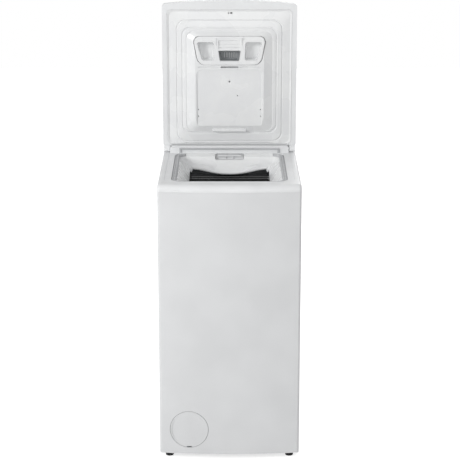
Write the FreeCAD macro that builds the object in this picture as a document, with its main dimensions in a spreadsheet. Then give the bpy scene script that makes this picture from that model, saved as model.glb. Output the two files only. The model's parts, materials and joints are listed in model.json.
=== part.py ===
"""Slim top-load washing machine with a horizontal drum.

X runs across the machine, the front faces -Y, and Z is up from the floor.  The lid stands open, as
it does while the drum is being loaded.  Every size comes from the sheet below, in millimetres.
"""
import FreeCAD, Part
import math
import os
import Sketcher

SIZES = {
    # cabinet
    "body_width": 400, "front_corner": 287, "bow": 13, "rear_depth": 284, "corner_radius": 8,
    "sheet_gauge": 1, "panel_bottom": 15, "panel_top": 788, "rim_height": 808, "wrap_depth": 25,
    "tray_height": 36, "foot_across": 173, "foot_radius": 11.5, "foot_stem": 5, "foot_height": 12,
    # loading opening, across X and along Y
    "seat_half": 163.5, "seat_front": 246, "seat_rear": 135, "seat_corner": 32,
    "mouth_half": 149.5, "mouth_front": 232, "mouth_rear": 131.5, "mouth_corner": 22,
    "throat_half": 121, "throat_front": 197, "throat_rear": 103, "throat_corner": 12,
    "throat_top": 757, "throat_bottom": 750, "collar_wall": 2.5,
    "window_half": 43, "window_low": 789, "window_high": 806.5, "riser_half": 130.8,
    # lid, described shut, and its hinge
    "hinge_back": 150, "hinge_height": 818, "lid_underside": 809, "lid_top": 847, "lid_rear": 135,
    "lid_border": 14, "lid_far": 422, "lid_wall": 3, "knuckle_radius": 8, "pin_radius": 3, "pin_gap": 0.05,
    "pan_half": 130, "pan_near": 56, "pan_far": 366, "pan_rise": 18, "pan_wall": 2.5,
    "crown_half": 102, "crown_near": 82, "crown_far": 352,
    "tray_half": 110, "tray_near": 259, "tray_far": 345, "tray_proud": 2, "tray_sunk": 13.6,
    # console
    "console_front": 190, "console_step": 815, "console_top": 900, "console_wall": 3,
    # drum and tub, both about one axis along X
    "axis_back": -25, "axis_height": 450, "drum_radius": 232, "drum_half": 133, "drum_gauge": 1.2,
    "tub_radius": 250, "tub_half": 152, "tub_wall": 4, "tub_mouth_top": 712,
    "shaft_radius": 12.5, "bearing_radius": 26, "bearing_width": 15, "seal_radius": 20,
    "flap_angle": 28, "flap_half": 109, "pivot_inset": 6.5,
    # drive
    "pulley_radius": 130, "pulley_near": 172, "pulley_width": 14, "motor_back": 120,
    "motor_height": 115, "motor_radius": 62, "motor_pulley_radius": 11, "belt_gap": 0.3,
    "belt_thick": 3, "belt_width": 10,
    # filter at the lower front
    "filter_across": -115.5, "filter_height": 89.5, "cover_radius": 54.3, "cover_gap": 1,
    "housing_radius": 34, "filter_radius": 27,
    # suspension
    "spring_across": 176, "spring_front": -215, "spring_back": 165, "spring_radius": 9,
    "spring_top": 700, "spring_bottom": 565, "damper_across": 172, "damper_front": -200,
    "damper_back": 165, "damper_radius": 11, "rod_radius": 5,
}

Vector = FreeCAD.Vector
Rotation = FreeCAD.Rotation
document = FreeCAD.newDocument("top_load_washing_machine")
sheet = document.addObject("Spreadsheet::Sheet", "Sheet")
PARTS = []


class Size:
    """A size that knows both its value and the formula that ties it to the sheet."""

    def __init__(self, value, text):
        self.value = value
        self.text = text

    def mix(self, other, sign, value):
        return Size(value, f"({self.text} {sign} {other.text})")

    def __add__(self, other):
        other = sized(other)
        return self.mix(other, "+", self.value + other.value)

    def __sub__(self, other):
        other = sized(other)
        return self.mix(other, "-", self.value - other.value)

    def __mul__(self, other):
        other = sized(other)
        return self.mix(other, "*", self.value * other.value)

    def __truediv__(self, other):
        other = sized(other)
        return self.mix(other, "/", self.value / other.value)

    def __neg__(self):
        return Size(-self.value, f"(0 - {self.text})")

    __radd__ = __add__
    __rmul__ = __mul__

    def __rsub__(self, other):
        return sized(other) - self


def sized(number):
    return number if isinstance(number, Size) else Size(number, f"{number:g}")


class Named:
    """The sheet's sizes, each under its own name."""


D = Named()
for row, (alias, number) in enumerate(SIZES.items(), 1):
    sheet.set(f"A{row}", alias)
    sheet.set(f"B{row}", str(number))
    sheet.setAlias(f"B{row}", alias)
    setattr(D, alias, Size(number, f"Sheet.{alias}"))
document.recompute()

HALF = D.body_width / 2
FRONT = -D.front_corner
BOW_RADIUS = (HALF * HALF + D.bow * D.bow) / (D.bow * 2)
BOW_CENTRE = BOW_RADIUS - D.front_corner - D.bow
REAR = D.rear_depth
TURN = {"x": Rotation(Vector(0, 1, 0), 90), "y": Rotation(Vector(1, 0, 0), -90), "z": Rotation()}


# ---------------------------------------------------------------- helpers


def bind(item, path, size):
    """Tie one property to the sheet."""
    item.setExpression(path, sized(size).text)


def place(item, where, turn=None):
    if turn is not None:
        item.Placement = FreeCAD.Placement(Vector(), turn)
    for axis, size in zip("xyz", where):
        bind(item, f"Placement.Base.{axis}", size)


def block(name, across, along, up):
    """A box given by its low and high limits along X, Y and Z."""
    item = document.addObject("Part::Box", name)
    for path, (low, high) in zip(("Length", "Width", "Height"), (across, along, up)):
        bind(item, path, sized(high) - low)
    place(item, (across[0], along[0], up[0]))
    return item


def rod(name, axis, radius, start, end, spot):
    """A cylinder along an axis from start to end, at the other two coordinates in spot."""
    item = document.addObject("Part::Cylinder", name)
    bind(item, "Radius", radius)
    bind(item, "Height", sized(end) - start)
    where = list(spot)
    where.insert("xyz".index(axis), start)
    place(item, where, TURN[axis])
    return item


def joined(name, *pieces):
    item = document.addObject("Part::MultiFuse", name)
    item.Shapes = list(pieces)
    return item


def cut(name, base, *tools):
    item = document.addObject("Part::Cut", name)
    item.Base = base
    item.Tool = tools[0] if len(tools) == 1 else joined(f"{name}_tools", *tools)
    return item


def overlap(name, *pieces):
    item = document.addObject("Part::MultiCommon", name)
    item.Shapes = list(pieces)
    return item


def group(name, *pieces):
    item = document.addObject("Part::Compound", name)
    item.Links = list(pieces)
    return item


def mirrored(name, source, normal=(1, 0, 0)):
    item = document.addObject("Part::Mirroring", name)
    item.Source = source
    item.Normal = Vector(*normal)
    return item


def rounded(name, base, radius, wanted):
    """Fillet every edge of base that the test wanted() accepts."""
    document.recompute()
    edges = [
        (index, sized(radius).value, sized(radius).value)
        for index, edge in enumerate(base.Shape.Edges, 1)
        if wanted(edge)
    ]
    item = document.addObject("Part::Fillet", name)
    item.Base = base
    item.Edges = edges
    return item


def part(label, item, turn=None, centre=None):
    """Give a finished piece its own name, and turn it about centre if it is drawn turned."""
    if turn is not None:
        item.Placement = FreeCAD.Placement(Vector(), turn, centre)
    item.Label = label
    PARTS.append(item)
    return item


def new_body(name):
    return document.addObject("PartDesign::Body", f"{name}_body")


def new_sketch(body, role, offset=0):
    sketch = body.newObject("Sketcher::SketchObject", f"{body.Name}_sketch")
    plane = next(f for f in body.Origin.OriginFeatures if f.Role == role)
    sketch.AttachmentSupport = [(plane, "")]
    sketch.MapMode = "FlatFace"
    bind(sketch, "AttachmentOffset.Base.z", offset)
    return sketch


def fix(sketch, kind, *where):
    """Add one dimension to a sketch and tie its value to the sheet."""
    size = where[-1]
    number = sketch.addConstraint(Sketcher.Constraint(kind, *where[:-1], size.value))
    bind(sketch, f"Constraints[{number}]", size)


def fix_point(sketch, piece, end, across, up):
    """Fix one end of a line or arc, or a centre, at a place measured from the sketch's origin."""
    for kind, size, axis in (("DistanceX", across, -2), ("DistanceY", up, -1)):
        size = sized(size)
        if abs(size.value) < 1e-9:
            sketch.addConstraint(Sketcher.Constraint("PointOnObject", piece, end, axis))
        else:
            fix(sketch, kind, -1, 1, piece, end, size)


def outline(body, role, corners, offset=0):
    """A closed outline of straight lines through corners."""
    sketch = new_sketch(body, role, offset)
    corners = [(sized(across), sized(up)) for across, up in corners]
    count = len(corners)
    for index, (across, up) in enumerate(corners):
        over, top = corners[(index + 1) % count]
        ends = Vector(across.value, up.value, 0), Vector(over.value, top.value, 0)
        sketch.addGeometry(Part.LineSegment(*ends), False)
    for index in range(count):
        sketch.addConstraint(Sketcher.Constraint("Coincident", index, 2, (index + 1) % count, 1))
    for index, (across, up) in enumerate(corners):
        fix_point(sketch, index, 1, across, up)
    return sketch


def circles(body, role, spots, offset=0):
    """Circles, each given by its centre and radius."""
    sketch = new_sketch(body, role, offset)
    for index, (across, up, radius) in enumerate(spots):
        across, up, radius = sized(across), sized(up), sized(radius)
        circle = Part.Circle(Vector(across.value, up.value, 0), Vector(0, 0, 1), radius.value)
        sketch.addGeometry(circle, False)
        fix(sketch, "Radius", index, radius)
        fix_point(sketch, index, 3, across, up)
    return sketch


def rounded_outline(body, half, front, rear, corner, height):
    """A rectangle with round corners, level at height, symmetric in X and from front to rear in Y."""
    sketch = new_sketch(body, "XY_Plane", height)
    high, low, back, turn = (sized(size) for size in (half, -front, rear, corner))
    right, bottom, top, round_off = high.value, low.value, back.value, turn.value
    line = Part.LineSegment
    spots = [
        (right - round_off, bottom + round_off, -90), (right - round_off, top - round_off, 0),
        (round_off - right, top - round_off, 90), (round_off - right, bottom + round_off, 180),
    ]
    sides = [
        ((round_off - right, bottom), (right - round_off, bottom)),
        ((right, bottom + round_off), (right, top - round_off)),
        ((right - round_off, top), (round_off - right, top)),
        ((-right, top - round_off), (-right, bottom + round_off)),
    ]
    for (start, end), (across, up, angle) in zip(sides, spots):
        sketch.addGeometry(line(Vector(*start, 0), Vector(*end, 0)), False)
        circle = Part.Circle(Vector(across, up, 0), Vector(0, 0, 1), round_off)
        arc = Part.ArcOfCircle(circle, math.radians(angle), math.radians(angle + 90))
        sketch.addGeometry(arc, False)
    for index in range(8):
        sketch.addConstraint(Sketcher.Constraint("Tangent", index, 2, (index + 1) % 8, 1))
    for index, kind in zip((0, 2, 4, 6), ("Horizontal", "Vertical") * 2):
        sketch.addConstraint(Sketcher.Constraint(kind, index))
    for index in (3, 5, 7):
        sketch.addConstraint(Sketcher.Constraint("Equal", 1, index))
    fix(sketch, "Radius", 1, turn)
    fix(sketch, "DistanceX", -1, 1, 2, 1, high)
    fix(sketch, "DistanceX", -1, 1, 6, 1, -high)
    fix(sketch, "DistanceY", -1, 1, 0, 1, low)
    fix(sketch, "DistanceY", -1, 1, 4, 1, back)
    return sketch


def feature(body, kind, sketch, **settings):
    item = body.newObject(f"PartDesign::{kind}", f"{body.Name}_{kind}")
    item.Profile = sketch
    for name, setting in settings.items():
        if isinstance(setting, (Size, int, float)) and not isinstance(setting, bool):
            bind(item, name, setting)
        else:
            setattr(item, name, setting)
    return item


def padded(body, sketch, length, **settings):
    return feature(body, "Pad", sketch, Length=length, **settings)


def pocketed(body, sketch, length, **settings):
    return feature(body, "Pocket", sketch, Length=length, **settings)


def turned(name, outline_points, spot, axis="z"):
    """A turned piece: outline points are (radius, height) and its own axis stands at spot."""
    body = new_body(name)
    sketch = outline(body, "XZ_Plane", outline_points)
    spin = feature(body, "Revolution", sketch, Angle=360)
    spin.ReferenceAxis = (sketch, ["V_Axis"])
    place(body, spot, TURN[axis])
    return body


def prism(name, half, front, rear, corner, low, high):
    """A solid rounded rectangle from low to high."""
    body = new_body(name)
    padded(body, rounded_outline(body, half, front, rear, corner, low), sized(high) - low)
    return body


def ring(name, outer, inner, low, high):
    """A rounded rectangular ring; outer and inner are (half width, front, rear, corner)."""
    return cut(name, prism(f"{name}_outer", *outer, low, high),
               prism(f"{name}_inner", *inner, sized(low) - 1, sized(high) + 1))


def grown(frame, by):
    """A rounded rectangle's four sizes, grown evenly."""
    return tuple(sized(size) + by for size in frame)


def bowed(name, inset, low, high, rear, soft=0):
    """The machine's footprint with its bowed front, inset evenly and cut off straight at rear.

    soft rounds the top of the bowed front.
    """
    box = block(f"{name}_box", (-HALF + inset, HALF - inset), (FRONT - D.bow - 1, rear), (low, high))
    face = rod(f"{name}_bow", "z", BOW_RADIUS - inset, low, high, (0, BOW_CENTRE))
    if soft:
        top = sized(high).value
        face = rounded(f"{name}_soft", face, soft,
                       lambda edge: edge.Length > 100 and edge.BoundBox.ZMin > top - 0.1)
    solid = overlap(f"{name}_solid", box, face)
    radius = max(D.corner_radius.value - sized(inset).value, 5)
    return rounded(f"{name}_corners", solid, radius, front_corner_edge)


def front_corner_edge(edge):
    bounds = edge.BoundBox
    upright = bounds.XLength < 0.01 and bounds.YLength < 0.01 and bounds.ZLength > 0.01
    return upright and bounds.YMin < FRONT.value + 20


WATER_HEIGHT = 764
FOOT_FRONT, FOOT_REAR = -265, 250
SEAM_ANGLES = [degrees for degrees in range(60, 301, 24) if abs(degrees - 180) > 20]
SEAT = (D.seat_half, D.seat_front, D.seat_rear, D.seat_corner)
MOUTH = (D.mouth_half, D.mouth_front, D.mouth_rear, D.mouth_corner)
THROAT = (D.throat_half, D.throat_front, D.throat_rear, D.throat_corner)


# ---------------------------------------------------------------- cabinet


def front_panel():
    """Bowed front sheet with rounded upright corners and a round hole for the filter cover."""
    rear = FRONT + D.wrap_depth
    skin = bowed("front_outer", 0, D.panel_bottom, D.panel_top, rear)
    hollow = bowed("front_inner", D.sheet_gauge, D.panel_bottom - 1, D.panel_top + 1, rear + 1)
    hole = rod("front_hole", "y", D.cover_radius + D.cover_gap, FRONT - 20, rear,
               (D.filter_across, D.filter_height))
    part("front_panel", cut("front_panel", skin, hollow, hole))


def side_panels():
    """Flat side sheets, each with a flange turned in at the rear."""
    body = new_body("side_panel_left")
    front = FRONT + D.wrap_depth + 0.4
    inner = -HALF + D.sheet_gauge
    rear = REAR - D.sheet_gauge
    flange = inner + 15
    corners = [(-HALF, front), (inner, front), (inner, rear - D.sheet_gauge),
               (flange, rear - D.sheet_gauge), (flange, rear), (-HALF, rear)]
    padded(body, outline(body, "XY_Plane", corners, D.panel_bottom), D.panel_top - D.panel_bottom)
    part("side_panel_left", body)
    part("side_panel_right", mirrored("side_panel_right", body))


def rear_panel():
    """Rear sheet with holes for the water inlet, the drain spigot and the power lead, and vents."""
    body = new_body("rear_panel")
    side = HALF - D.sheet_gauge / 2
    corners = [(-side, D.panel_bottom), (side, D.panel_bottom), (side, D.panel_top - 1),
               (-side, D.panel_top - 1)]
    padded(body, outline(body, "XZ_Plane", corners, -REAR), D.sheet_gauge)
    holes = [(-140, WATER_HEIGHT, 15), (-140, 710, 12), (140, 730, 9)]
    sketch = circles(body, "XZ_Plane", holes, D.sheet_gauge * 2 - REAR)
    pocketed(body, sketch, D.sheet_gauge * 4, Midplane=True)
    part("rear_panel", body)


def base_tray():
    """Pressed tray that carries the feet, the pump and the dampers."""
    side = HALF - D.sheet_gauge - 0.4
    low = D.panel_bottom + 1
    outer = block("tray_outer", (-side, side), (-280, REAR - 2), (low, low + D.tray_height))
    inner = block("tray_inner", (2 - side, side - 2), (-278, REAR - 4), (low + 2, low + 60))
    holes = [
        rod("tray_hole", "z", D.foot_stem + 0.06, low - 1, low + 3, (across, along))
        for across in (-D.foot_across, D.foot_across) for along in (FOOT_FRONT, FOOT_REAR)
    ]
    part("base_tray", cut("base_tray", outer, inner, *holes))


def foot(name, across, along):
    """Levelling foot: a round pad on a threaded stem that passes up through the tray."""
    stem = D.foot_stem
    pad = D.foot_radius
    corners = [(0, 0), (pad - 1, 0), (pad, 1), (pad, 7), (8, 9), (8, D.foot_height),
               (stem, D.foot_height), (stem, 44), (0, 44)]
    return turned(name, corners, (across, along, 0))


def feet():
    part("front_foot_left", foot("front_foot_left", -D.foot_across, FOOT_FRONT))
    part("front_foot_right", foot("front_foot_right", D.foot_across, FOOT_FRONT))
    pair = [foot("rear_foot", across, FOOT_REAR) for across in (-D.foot_across, D.foot_across)]
    part("rear_feet", group("rear_feet", *pair))


def spring_rails():
    """Two angle rails inside the side panels, from which the tub hangs."""
    inner = HALF - D.sheet_gauge - 0.2
    flat = block("rail_flat", (D.spring_across - 12, inner), (-258, REAR - 10), (D.spring_top, D.spring_top + 3))
    upright = block("rail_upright", (inner - 2, inner), (-258, REAR - 10), (D.spring_top, D.spring_top + 26))
    right = joined("rail_right", flat, upright)
    part("spring_rails", group("spring_rails", right, mirrored("rail_left", right)))


def top_frame():
    """Moulded frame round the opening, with a raised step behind it that holds the hinge pins."""
    rear = D.console_front - 0.3
    low = D.panel_top + 0.2
    rim = D.rim_height
    skin = bowed("frame_outer", 0, low, rim, rear, soft=16)
    hollow = bowed("frame_inner", 2.5, low - 1, rim - 3, rear - 2.5, soft=13.5)
    step = block("frame_step", (-179.5, 179.5), (139, rear), (rim - 3, 825))
    step = rounded("frame_step_round", step, 3,
                   lambda edge: edge.BoundBox.ZMin > 824.9 or edge.BoundBox.YMax < 139.1
                   and edge.BoundBox.ZLength > 1)
    step_hollow = block("frame_step_hollow", (-176, 176), (142, rear - 3), (rim - 4, 822))
    wall = ring("frame_wall", grown(SEAT, 3), SEAT, low, rim - 1)
    opening = prism("frame_opening", *SEAT, low - 2, rim + 2)
    pins = rod("frame_pins", "x", D.pin_radius, -181, 181, (D.hinge_back, D.hinge_height))
    grooves = [block("frame_groove", (side - 0.7, side + 0.7), (-225, 130), (rim - 0.8, rim + 1))
               for side in (-182.5, 182.5)]
    shell = cut("frame_shell", joined("frame_solid", skin, step), hollow, step_hollow)
    shell = joined("frame_walled", shell, wall)
    window = block("frame_window", (-D.window_half, D.window_half),
                   (D.seat_rear - 1, D.seat_rear + 4), (D.window_low, D.window_high))
    part("top_frame", cut("top_frame", shell, opening, pins, window, *grooves))


def door_gasket():
    """Soft grey seal between the frame and the collar.

    It runs round the front and sides, and a strip on the raised step closes the rear.
    """
    outer = grown(SEAT, -0.3)
    low = D.rim_height - 10.8
    high = D.rim_height - 1.2
    band = ring("gasket_band", outer, MOUTH, low, high)
    soft = rounded("gasket_soft", band, 1.2, lambda edge: edge.BoundBox.ZMin > high.value - 0.01)
    reach = D.riser_half + 0.3
    rear = block("gasket_rear", (-reach, reach), (100, 140), (low - 1, high + 1))
    strip = block("gasket_strip", (-150, 150), (136.2, 138.8), (D.hinge_height, D.hinge_height + 5.5))
    part("door_gasket", group("door_gasket", cut("gasket_sides", soft, rear), strip))


def loading_collar():
    """White funnel from the seal down to the throat.

    Its rear wall rises to the rim and has a window for the water jets.
    """
    flange_low = D.rim_height - 13.5
    flange_high = D.rim_height - 11
    collar = new_body("collar")
    wall = D.collar_wall
    padded(collar, rounded_outline(collar, *grown(SEAT, -0.3), flange_low), flange_high - flange_low)
    top = rounded_outline(collar, *grown(MOUTH, wall), flange_high)
    middle = rounded_outline(collar, *grown(THROAT, wall), D.throat_top)
    feature(collar, "AdditiveLoft", top, Sections=[middle], Ruled=True)
    neck = rounded_outline(collar, *grown(THROAT, wall), D.throat_bottom)
    padded(collar, neck, D.throat_top - D.throat_bottom)
    top = rounded_outline(collar, *MOUTH, flange_high)
    middle = rounded_outline(collar, *THROAT, D.throat_top)
    feature(collar, "SubtractiveLoft", top, Sections=[middle], Ruled=True)
    neck = rounded_outline(collar, *THROAT, D.throat_top + 0.01)
    pocketed(collar, neck, D.throat_top - D.throat_bottom + 1)
    riser = block("collar_riser", (-D.riser_half, D.riser_half), (D.mouth_rear, D.seat_rear - 0.3),
                  (flange_low, D.rim_height))
    window = block("collar_window", (-D.window_half, D.window_half), (100, D.seat_rear + 1),
                   (D.window_low, D.window_high))
    part("loading_collar", cut("loading_collar", joined("collar_solid", collar, riser), window))


def water_nozzles():
    """Jet manifold behind the collar's window, with two nozzles that point down into the throat."""
    back = block("nozzle_block", (-42, 42), (D.seat_rear + 3.4, D.seat_rear + 12),
                 (WATER_HEIGHT - 9, D.rim_height - 3.5))
    arm = block("nozzle_arm", (-36, 36), (D.seat_rear - 2, D.seat_rear + 4), (798, 804))
    jets = []
    for across in (-11, 11):
        cone = document.addObject("Part::Cone", "nozzle_jet")
        cone.Radius1 = 1.2
        cone.Radius2 = 3.4
        cone.Height = 8
        place(cone, (across, D.seat_rear + 1.5, 790.5))
        jets.append(cone)
    part("water_nozzles", joined("water_nozzles", back, arm, *jets))


def bellows_seal():
    """Rubber bellows between the collar and the tub's mouth."""
    part("bellows_seal", ring("bellows_seal", grown(THROAT, 7), grown(THROAT, 1),
                              D.tub_mouth_top + 0.3, D.throat_bottom - 0.3))


def lid_lock():
    """Electric lock under the front rim."""
    part("lid_lock", block("lid_lock", (-28, 28), (-281, -253), (765, 787)))


def drain_pump():
    """Filter housing, impeller chamber and motor in one unit on the tray, with its inlet on top."""
    spot = (D.filter_across, D.filter_height)
    housing = rod("pump_housing", "y", D.housing_radius, -262, -20, spot)
    chamber = rod("pump_chamber", "y", 42, -22, 8, spot)
    motor = rod("pump_motor", "y", 26, 6, 62, spot)
    port = rod("pump_port", "z", 12, 92, 150, (-103, -45))
    outlet = rod("pump_outlet", "x", 10, -112, -60, (-7, 122))
    stand = block("pump_stand", (D.filter_across - 24, D.filter_across + 24), (-240, -30), (18, 62))
    bore = rod("pump_bore", "y", D.filter_radius, -263, -50, spot)
    passage = rod("pump_passage", "z", 9.5, 92, 151, (-103, -45))
    part("drain_pump", cut("drain_pump", joined("pump_solid", housing, chamber, motor, port, outlet, stand),
                           bore, passage))


def filter_cap():
    """Screw-in lint filter with a grip bar on its head."""
    spot = (D.filter_across, D.filter_height)
    head = rod("filter_head", "y", 31, -274, -262.3, spot)
    plug = rod("filter_plug", "y", D.filter_radius - 0.08, -262.4, -238, spot)
    basket = rod("filter_basket", "y", 20, -239, -130, spot)
    hollow = rod("filter_hollow", "y", 17, -232, -129, spot)
    grip = block("filter_grip", (D.filter_across - 24, D.filter_across + 24), (-285, -273),
                 (D.filter_height - 4, D.filter_height + 4))
    slots = [block("filter_slot", (D.filter_across - 25, D.filter_across + 25), (low, low + 8),
                   (D.filter_height - 9, D.filter_height + 9)) for low in range(-225, -140, 14)]
    part("filter_cap", cut("filter_cap", joined("filter_solid", head, plug, basket, grip), hollow, *slots))


def filter_cover():
    """Round cover that follows the front's bow, with a coin notch at its lowest point."""
    spot = (D.filter_across, D.filter_height)
    outer = rod("cover_bow", "z", BOW_RADIUS, 20, 160, (0, BOW_CENTRE))
    inner = rod("cover_hollow", "z", BOW_RADIUS - 2.5, 19, 161, (0, BOW_CENTRE))
    disc = overlap("cover_disc", rod("cover_rod", "y", D.cover_radius, -305, -270, spot), outer)
    face = cut("cover_face", disc, inner)
    skirt = cut("cover_skirt", rod("cover_ring", "y", D.cover_radius - 2, -293, -287, spot),
                rod("cover_ring_hollow", "y", D.cover_radius - 4, -294, -286, spot))
    notch = block("cover_notch", (D.filter_across - 7, D.filter_across + 7), (-306, -286),
                  (D.filter_height - D.cover_radius - 1, D.filter_height - D.cover_radius + 3))
    part("filter_cover", cut("filter_cover", joined("cover_solid", face, skirt), notch))


def sump_hose():
    """Flexible hose between the tub's sump and the pump."""
    spot = (-103, -45)
    part("sump_hose", cut("sump_hose", rod("hose_outer", "z", 15, 128, 178, spot),
                          rod("hose_inner", "z", 12.2, 127, 179, spot)))


def inlet_valve():
    """Water valve inside the rear sheet with a threaded nipple outside."""
    body = block("valve_body", (-156, -124), (REAR - 45, REAR - 3), (WATER_HEIGHT - 16, WATER_HEIGHT + 16))
    nipple = rod("valve_nipple", "y", 13.2, REAR - 4, REAR + 14, (-140, WATER_HEIGHT))
    bore = rod("valve_bore", "y", 8, REAR - 15, REAR + 15, (-140, WATER_HEIGHT))
    part("inlet_valve", cut("inlet_valve", joined("valve_solid", body, nipple), bore))


def fill_hose():
    """Hose from the valve across and forward to the jet manifold, with one round bend."""
    radius = 7
    height = WATER_HEIGHT
    bend = 30
    turn_at = -40
    back = REAR - 25
    first = rod("fill_across", "x", radius, -124, turn_at - bend, (back, height))
    second = rod("fill_forward", "y", radius, D.seat_rear + 12, back - bend, (turn_at, height))
    elbow = document.addObject("Part::Torus", "fill_elbow")
    elbow.Radius1, elbow.Radius2, elbow.Angle3 = bend, radius, 90
    place(elbow, (turn_at - bend, back - bend, height))
    part("fill_hose", joined("fill_hose", first, elbow, second))


def rear_fittings():
    """Drain spigot, power gland and the screws that hold the rear sheet."""
    spigot = joined("spigot_solid", rod("spigot_tube", "y", 11, REAR - 24, REAR + 16, (-140, 710)),
                    rod("spigot_collar", "y", 16, REAR - 8, REAR - 1.2, (-140, 710)))
    part("drain_spigot", cut("drain_spigot", spigot, rod("spigot_bore", "y", 8, REAR - 25, REAR + 17, (-140, 710))))
    gland = joined("gland_solid", rod("gland_body", "y", 8.8, REAR - 10, REAR + 6, (140, 730)),
                   rod("gland_head", "y", 13, REAR + 0.2, REAR + 4, (140, 730)))
    part("power_inlet", cut("power_inlet", gland, rod("gland_bore", "y", 4, REAR - 11, REAR + 7, (140, 730))))
    screws = [rod("rear_screw", "y", 4, REAR, REAR + 2.2, (across, up))
              for across in (-190, 190) for up in (60, 240, 420, 600, 770)]
    part("cabinet_screws", group("cabinet_screws", *screws))


# ---------------------------------------------------------------- console


SLOPE = Rotation(Vector(1, 0, 0), 45)


def on_slope(item, across, along, out):
    """Place a piece drawn about Z so that it stands on the console's sloping face.

    along is measured up the slope and out is measured square to it.
    """
    lean = math.sqrt(0.5)
    place(item, (across, D.console_front + (sized(along) - out) * lean,
                 D.console_step + (sized(along) + out) * lean), SLOPE)
    return item


def slope_block(name, across, along, out):
    item = document.addObject("Part::Box", name)
    for path, (low, high) in zip(("Length", "Width", "Height"), (across, along, out)):
        bind(item, path, sized(high) - low)
    return on_slope(item, across[0], along[0], out[0])


def slope_rod(name, radius, across, along, out):
    item = document.addObject("Part::Cylinder", name)
    bind(item, "Radius", radius)
    bind(item, "Height", sized(out[1]) - out[0])
    return on_slope(item, across, along, out[0])


KNOB_SPOT = (120, 60)
START_SPOT = (58, 60)
SPIN_SPOT = (20, 60)
BUTTON_RADIUS = 8


def control_holes(gap):
    knob = slope_rod("hole_knob", 3.06, *KNOB_SPOT, (-9, 9))
    buttons = [slope_rod("hole_button", BUTTON_RADIUS + gap, *spot, (-9, 9))
               for spot in (START_SPOT, SPIN_SPOT)]
    return [knob, *buttons]


def console():
    """Housing behind the lid, its sloping fascia and everything that is set into it."""
    wall = D.console_wall
    low = D.panel_top + 0.2
    body = new_body("console_outer")
    front, rear = D.console_front, REAR
    run = D.console_top - D.console_step
    corners = [(front, low), (front, D.console_step), (front + run, D.console_top),
               (rear, D.console_top), (rear, low)]
    padded(body, outline(body, "YZ_Plane", corners), D.body_width, Midplane=True)
    soft = rounded("console_soft", body, 5,
                   lambda edge: edge.BoundBox.ZMin > D.console_step.value + 1
                   or edge.BoundBox.ZMax - edge.BoundBox.ZMin > 80 and edge.BoundBox.YLength > 50)
    hollow = new_body("console_hollow")
    inset = [(front + wall, low - 1), (front + wall, D.console_step + 1), (front + run + 1, D.console_top - wall),
             (rear - wall, D.console_top - wall), (rear - wall, low - 1)]
    padded(hollow, outline(hollow, "YZ_Plane", inset), D.body_width - wall * 2, Midplane=True)
    part("console_housing", cut("console_housing", soft, hollow, *control_holes(0.06)))
    fascia = slope_block("fascia_plate", (-190, 190), (10, 110), (0.2, 2.2))
    part("control_fascia", cut("control_fascia", fascia, *control_holes(0.06)))
    part("display_window", slope_block("display_window", (-150, -40), (38, 82), (2.2, 3)))
    part("control_board", slope_block("control_board", (-150, 150), (25, 95), (-24, -22.4)))


def programme_knob():
    """Dial with a pointer rib on its face and a shaft down through the fascia."""
    body = new_body("knob")
    corners = [(0, -14), (3, -14), (3, 2.6), (22, 2.6), (22, 6), (19, 19), (18, 20), (0, 20)]
    sketch = outline(body, "XZ_Plane", corners)
    spin = feature(body, "Revolution", sketch, Angle=360)
    spin.ReferenceAxis = (sketch, ["V_Axis"])
    rib = block("knob_rib", (-1.5, 1.5), (0, 18.5), (19, 21.5))
    knob = joined("programme_knob", body, rib)
    on_slope(knob, *KNOB_SPOT, 0)
    part("programme_knob", knob)


def push_button(name, spot):
    part(name, slope_rod(name, BUTTON_RADIUS, *spot, (-10, 6)))


# ---------------------------------------------------------------- lid, drawn shut and turned open


OPEN = Rotation(Vector(1, 0, 0), -90)
HINGE = Vector(0, D.hinge_back.value, D.hinge_height.value)


def lid_shell():
    """Outer lid moulding with a wide border round the liner and a hinge knuckle at each rear corner."""
    low = D.lid_underside
    skin = bowed("lid_outer", 0, low, D.lid_top, D.lid_rear, soft=12)
    window = prism("lid_window", HALF - D.lid_border, D.lid_far - D.hinge_back,
                   D.lid_rear - D.lid_wall, 13, low - 1, low + 4)
    hollow = bowed("lid_hollow", D.lid_wall, low + D.lid_wall, D.lid_top - D.lid_wall,
                   D.lid_rear - D.lid_wall, soft=9)
    shell = cut("lid_hollowed", skin, window, hollow)
    knuckles = []
    for left, right in ((-198, -181), (181, 198)):
        spot = (D.hinge_back, D.hinge_height)
        knuckles.append(rod("lid_knuckle", "x", D.knuckle_radius, left, right, spot))
        knuckles.append(block("lid_arm", (left, right), (D.lid_rear - 3, D.hinge_back), (812, 825)))
    bores = [rod("lid_bore", "x", D.pin_radius + D.pin_gap, left, left + 20,
                 (D.hinge_back, D.hinge_height)) for left in (-199.5, 179.5)]
    part("lid_shell", cut("lid_shell", joined("lid_solid", shell, *knuckles), *bores), OPEN, HINGE)


def tapered(name, foot, crown, start, end):
    """A solid that narrows from one rounded rectangle to another."""
    body = new_body(name)
    wide = rounded_outline(body, *foot, start)
    narrow = rounded_outline(body, *crown, end)
    feature(body, "AdditiveLoft", wide, Sections=[narrow], Ruled=True)
    return body


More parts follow.
